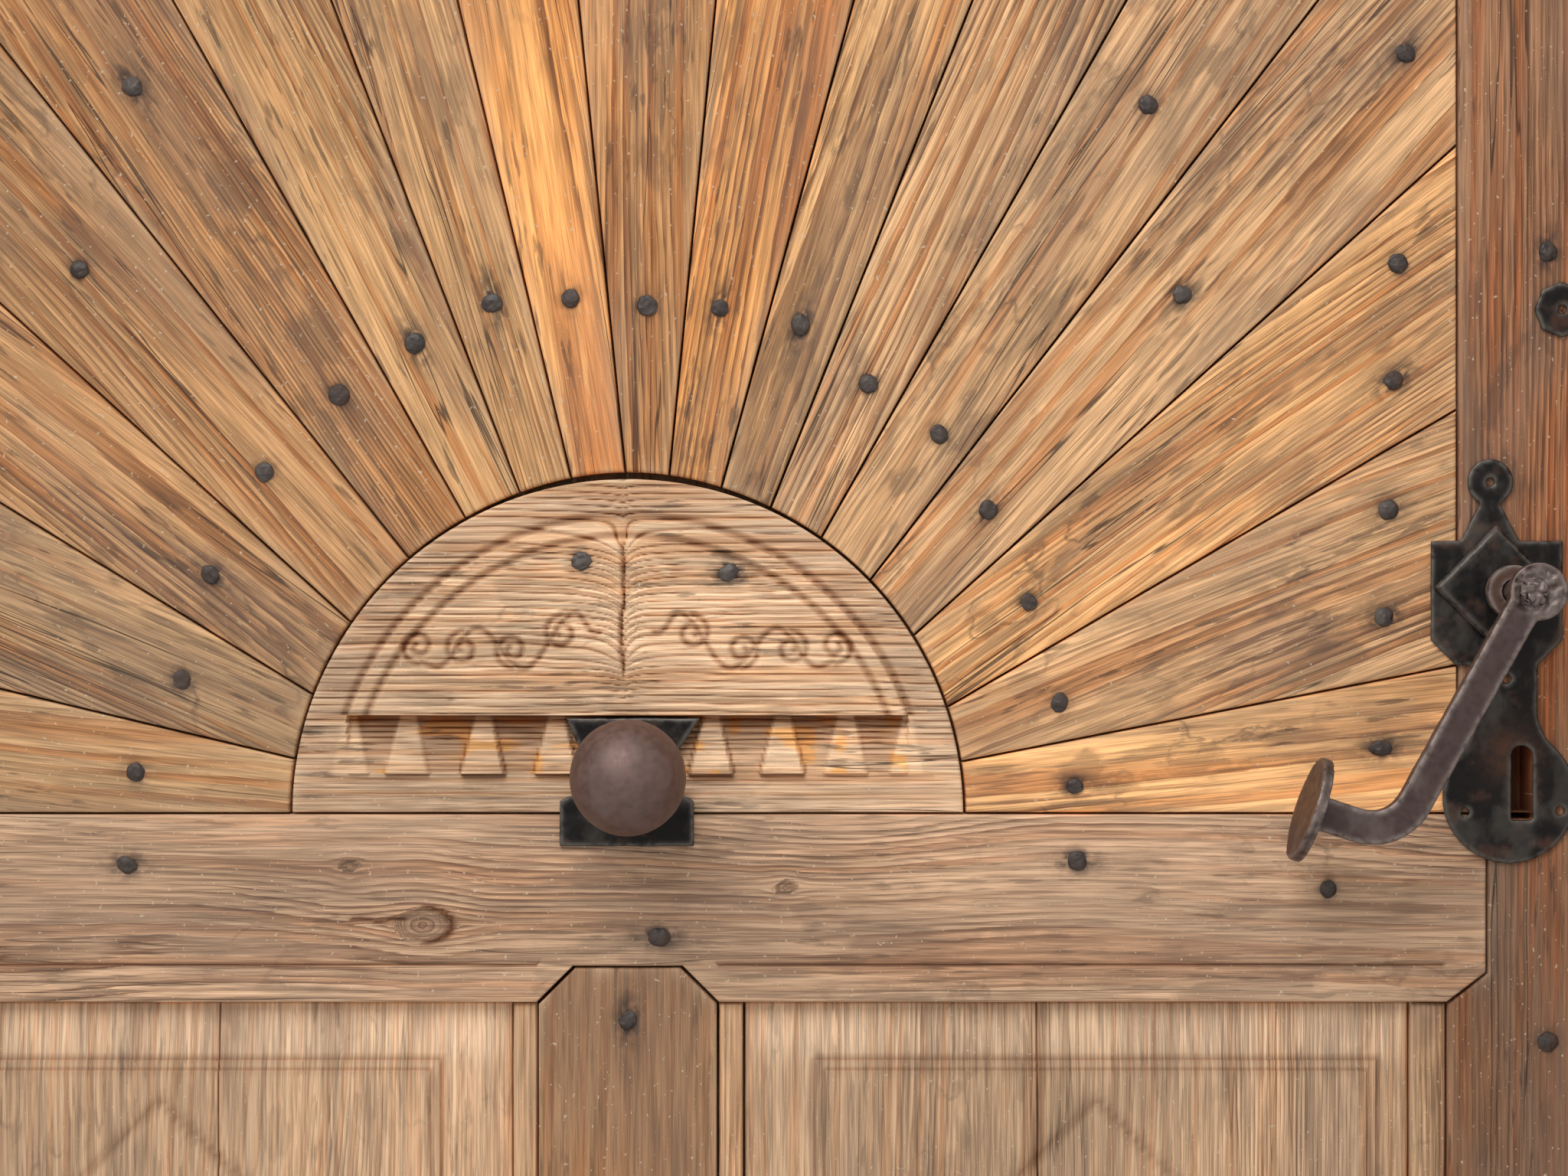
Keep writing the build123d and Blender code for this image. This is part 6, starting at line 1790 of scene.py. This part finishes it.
    def build(self) -> None:
        """Make every piece of iron that shows, and dress the rest."""
        eye_low, eye_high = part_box("spindle")
        eye = ((eye_low.x + eye_high.x) / 2 + 2 * MM, eye_low.y, (eye_low.z + eye_high.z) / 2 + 1 * MM,
               self.eye_radius)
        plate, lever = Finish.plate_iron, Finish.lever_iron
        collar_rust = (eye[0], eye[2], self.collar_rust_radius)
        self.forge("key_plate", "key_plate_iron", plate, "leaf", 0.75 * MM, rusty=self.keyhole_rust)
        self.forge("boss_plate", "boss_plate_iron", plate, "leaf", 0.8 * MM)
        self.forge("small_plate", "small_plate_iron", plate, "leaf", 0.75 * MM)
        self.forge("knob_plate", "knob_plate_iron", plate, "leaf", 0.8 * MM, 0.3 * MM)
        self.forge("spindle_collar", "collar_iron", lever, "leaf", 0.8 * MM, rusty=collar_rust)
        self.forge("lever_outer", "lever_iron", lever, "lever", 0.9 * MM, 0.3 * MM, lump=eye)
        self.forge("spindle", "spindle_iron", lever, "lever", 0.9 * MM, 0.2 * MM, lump=eye)
        self.ball_knob()
        lock, hinge = Finish.lock_iron, Finish.hinge_iron
        for node, finish, body in (
                ("lever_inner", lever, "lever"), ("lock_case", lock, "leaf"), ("knob_nut", lock, "leaf"),
                ("latch_bolt", lock, "latch"), ("dead_bolt", lock, "bolt"), ("keeper", lock, "frame"),
                ("strap_lower", hinge, "leaf"), ("strap_upper", hinge, "leaf"),
                ("pintle_lower", hinge, "frame"), ("pintle_upper", hinge, "frame")):
            self.ease(node, f"{node}_iron", finish, body)
        self.latch_spring()
        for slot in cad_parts["follower"].material_slots:
            slot.material = MATERIALS["lock_iron"]

    def latch_spring(self) -> None:
        """Flat spring under the follower's tail, which presses it down as the lever turns."""
        spring = self.ease("latch_spring", "latch_spring_iron", Finish.lock_iron, "leaf", 0.2 * MM)
        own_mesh(spring)


@dataclass
class Nailer:
    """Hand-forged nails, placed by Geometry Nodes where the CAD nails are."""

    head_radius: float = 4.9 * MM
    head_height: float = 1.5 * MM
    shank_radius: float = 2.6 * MM
    shank_length: float = 38 * MM
    hammering: float = 1.9 * MM
    blow_scale: float = 300.0
    proud: float = 2 * MM

    def tree(self) -> bpy.types.NodeTree:
        """Geometry Nodes tree that puts an uneven nail on every point.

        Returns:
            The tree.
        """
        geometry = "NodeSocketGeometry"
        recipe = GroupRecipe(
            "forged_nails",
            {"Points": geometry, "Head Radius": FLOAT, "Head Height": FLOAT, "Shank Radius": FLOAT,
             "Shank Length": FLOAT, "Hammering": FLOAT, "Facing": FLOAT, "Seed": "NodeSocketInt",
             "Material": "NodeSocketMaterial"},
            {"Geometry": geometry}, "GeometryNodeTree")
        bench, inputs = recipe.bench, recipe.inputs
        ball = bench.add("GeometryNodeMeshIcoSphere", {"Radius": 1.0, "Subdivisions": 3}).outputs["Mesh"]
        size = bench.add("ShaderNodeCombineXYZ", {0: inputs["Head Radius"], 1: inputs["Head Height"],
                                                  2: inputs["Head Radius"]}).outputs[0]
        head = bench.add("GeometryNodeTransform", {"Geometry": ball, "Scale": size}).outputs[0]
        cone = bench.add("GeometryNodeMeshCone", {
            "Vertices": 4, "Radius Top": 0.3 * MM, "Radius Bottom": inputs["Shank Radius"],
            "Depth": inputs["Shank Length"]}).outputs["Mesh"]
        feeds = {"Geometry": cone, "Rotation": (-math.pi / 2, 0, 0)}
        shank = bench.add("GeometryNodeTransform", feeds).outputs[0]
        both = bench.add("GeometryNodeJoinGeometry")
        bench.feed(both.inputs[0], shank)
        bench.feed(both.inputs[0], head)
        feeds = {3: 2 * math.pi, "Seed": inputs["Seed"]}
        spin = bench.add("FunctionNodeRandomValue", feeds, data_type="FLOAT")
        turn = bench.add("ShaderNodeCombineXYZ", {1: spin.outputs[1]}).outputs[0]
        facing = bench.add("ShaderNodeCombineXYZ", {2: inputs["Facing"]}).outputs[0]
        turned = bench.vector("ADD", turn, facing)
        scale = bench.add("FunctionNodeRandomValue", {"Min": (0.84, 0.8, 0.8), "Max": (1.14, 1.15, 1.12),
                                                      "Seed": inputs["Seed"]}, data_type="FLOAT_VECTOR")
        nails = bench.add("GeometryNodeInstanceOnPoints", {
            "Points": inputs["Points"], "Instance": both.outputs[0], "Rotation": turned,
            "Scale": scale.outputs[0]})
        real = bench.add("GeometryNodeRealizeInstances", {"Geometry": nails.outputs[0]}).outputs[0]
        place = bench.add("GeometryNodeInputPosition").outputs[0]
        feeds = {"Vector": place, "Scale": self.blow_scale, "Detail": 2.0}
        rough = bench.add("ShaderNodeTexNoise", feeds).outputs["Color"]
        shift = bench.vector("SUBTRACT", rough, (0.5, 0.5, 0.5))
        feeds = {0: shift, "Scale": inputs["Hammering"]}
        shift = bench.add("ShaderNodeVectorMath", feeds, operation="SCALE").outputs[0]
        moved = bench.add("GeometryNodeSetPosition", {"Geometry": real, "Offset": shift}).outputs[0]
        feeds = {"Geometry": moved, "Material": inputs["Material"]}
        dressed = bench.add("GeometryNodeSetMaterial", feeds).outputs[0]
        recipe.give(Geometry=dressed)
        return recipe.tree

    def drive(self, tree: bpy.types.NodeTree, node: str, name: str, body: str, outward: bool,
              seed: int) -> None:
        """Put nails in the places of one CAD node.

        Args:
            tree: The nail tree.
            node: The CAD node.
            name: Name of the new piece.
            body: The body that carries the nails.
            outward: Whether the heads face the street side.
            seed: Chooses the nails' turns and sizes.
        """
        seats = [(solid[:, 0].mean(),
                  solid[:, 1].min() + self.proud if outward else solid[:, 1].max() - self.proud,
                  solid[:, 2].mean()) for solid in loose_solids(node)]
        mesh = bpy.data.meshes.new(name)
        mesh.from_pydata(seats, [], [])
        piece = placed(name, mesh)
        modifier = piece.modifiers.new("nails", "NODES")
        modifier.node_group = tree
        values = {"Head Radius": self.head_radius, "Head Height": self.head_height,
                  "Shank Radius": self.shank_radius, "Shank Length": self.shank_length,
                  "Hammering": self.hammering, "Facing": 0.0 if outward else math.pi, "Seed": seed,
                  "Material": MATERIALS["nail_iron"]}
        for item in tree.interface.items_tree:
            if item.in_out == "INPUT" and item.name in values:
                modifier[item.identifier] = values[item.name]
        made = plain_mesh(piece)
        height = np.abs(vertex_places(made)[:, 1] - seats[0][1])
        paint(made, edge=0.7 * np.clip((height - 1.2 * MM) / (1.6 * MM), 0, 1))
        settle(piece, body, "nail_iron", node)

    def build(self) -> None:
        """Drive all the door's nails."""
        tree = self.tree()
        self.drive(tree, "wood_nails", "board_nails", "leaf", True, 5)
        self.drive(tree, "iron_nails", "strap_nails", "leaf", False, 6)
        self.drive(tree, "keeper_nails", "keeper_nail_heads", "frame", False, 7)


def main() -> None:
    """Build the door's looks, piece by piece."""
    logging.basicConfig(level=logging.INFO, format="%(message)s")
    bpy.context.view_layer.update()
    Sunburst(SITE).build()
    HubBoard(SITE).build()
    LowerLeaf(SITE).build()
    LeafFrame(SITE).build()
    DoorFrame(SITE).build()
    Smithy().build()
    Nailer().build()
    Studio(SITE).build()


@dataclass
class Studio:
    """Plain floor, soft light and the camera that looks at the middle of the leaf."""

    site: Site
    camera_x: float = 79.2 * MM
    camera_z: float = 1074.8 * MM
    camera_distance: float = 1.5
    lens: float = 68.0
    floor_side: float = 9.0
    lamp_side: float = 2.2
    fill: float = 0.45

    def floor(self) -> None:
        """Pale floor under the threshold."""
        mesh = bpy.data.meshes.new("studio_floor")
        half = self.floor_side / 2
        corners = [(-half, -half, 0), (half, -half, 0), (half, half, 0), (-half, half, 0)]
        mesh.from_pydata(corners, [], [(0, 1, 2, 3)])
        floor = placed("studio_floor", mesh)
        floor.location.z = -0.5 * MM
        material, _, surface = new_material("studio_floor")
        surface["Base Color"].default_value = (0.8, 0.8, 0.79, 1)
        surface["Roughness"].default_value = 0.9
        mesh.materials.append(material)

    def soft_box(self, name: str, place: tuple[float, float, float], power: float) -> None:
        """Square soft light that faces the leaf's middle."""
        data = bpy.data.lights.new(name, "AREA")
        data.shape, data.size, data.energy = "SQUARE", self.lamp_side, power
        lamp = placed(name, data)
        lamp.location = place
        aim = Vector((0, self.site.face_y, self.site.base_z)) - Vector(place)
        lamp.rotation_euler = aim.to_track_quat("-Z", "Y").to_euler()

    def world(self) -> None:
        """Pale surroundings that fill the shadows and show in the metal."""
        world = bpy.data.worlds.new("studio_world")
        world.use_nodes = True
        bpy.context.scene.world = world
        bench = Bench(world.node_tree)
        background = world.node_tree.nodes["Background"]
        path = bench.add("ShaderNodeLightPath").outputs
        seen = bench.most(*(path[f"Is {kind} Ray"] for kind in ("Camera", "Glossy", "Transmission")))
        bench.feed(background.inputs["Color"], (0.93, 0.93, 0.92, 1))
        bench.feed(background.inputs["Strength"], bench.remap(seen, 0.0, 1.0, self.fill, 1.0))

    def camera(self) -> None:
        """Camera square to the leaf, as the picture was taken."""
        data = bpy.data.cameras.new("camera")
        data.lens, data.sensor_width = self.lens, 36.0
        camera = placed("camera", data)
        camera.location = (self.camera_x, self.site.face_y - self.camera_distance, self.camera_z)
        camera.rotation_euler = (math.radians(90), 0, 0)
        bpy.context.scene.camera = camera

    def build(self) -> None:
        """Set up the floor, the lights, the world and the camera."""
        self.floor()
        self.soft_box("sky_light", (-0.9, -2.2, 3.4), 70)
        self.soft_box("back_light", (0.8, 3.0, 2.6), 60)
        self.world()
        self.camera()
        bpy.context.scene.view_settings.view_transform = "Standard"


if __name__ == "__main__":
    main()
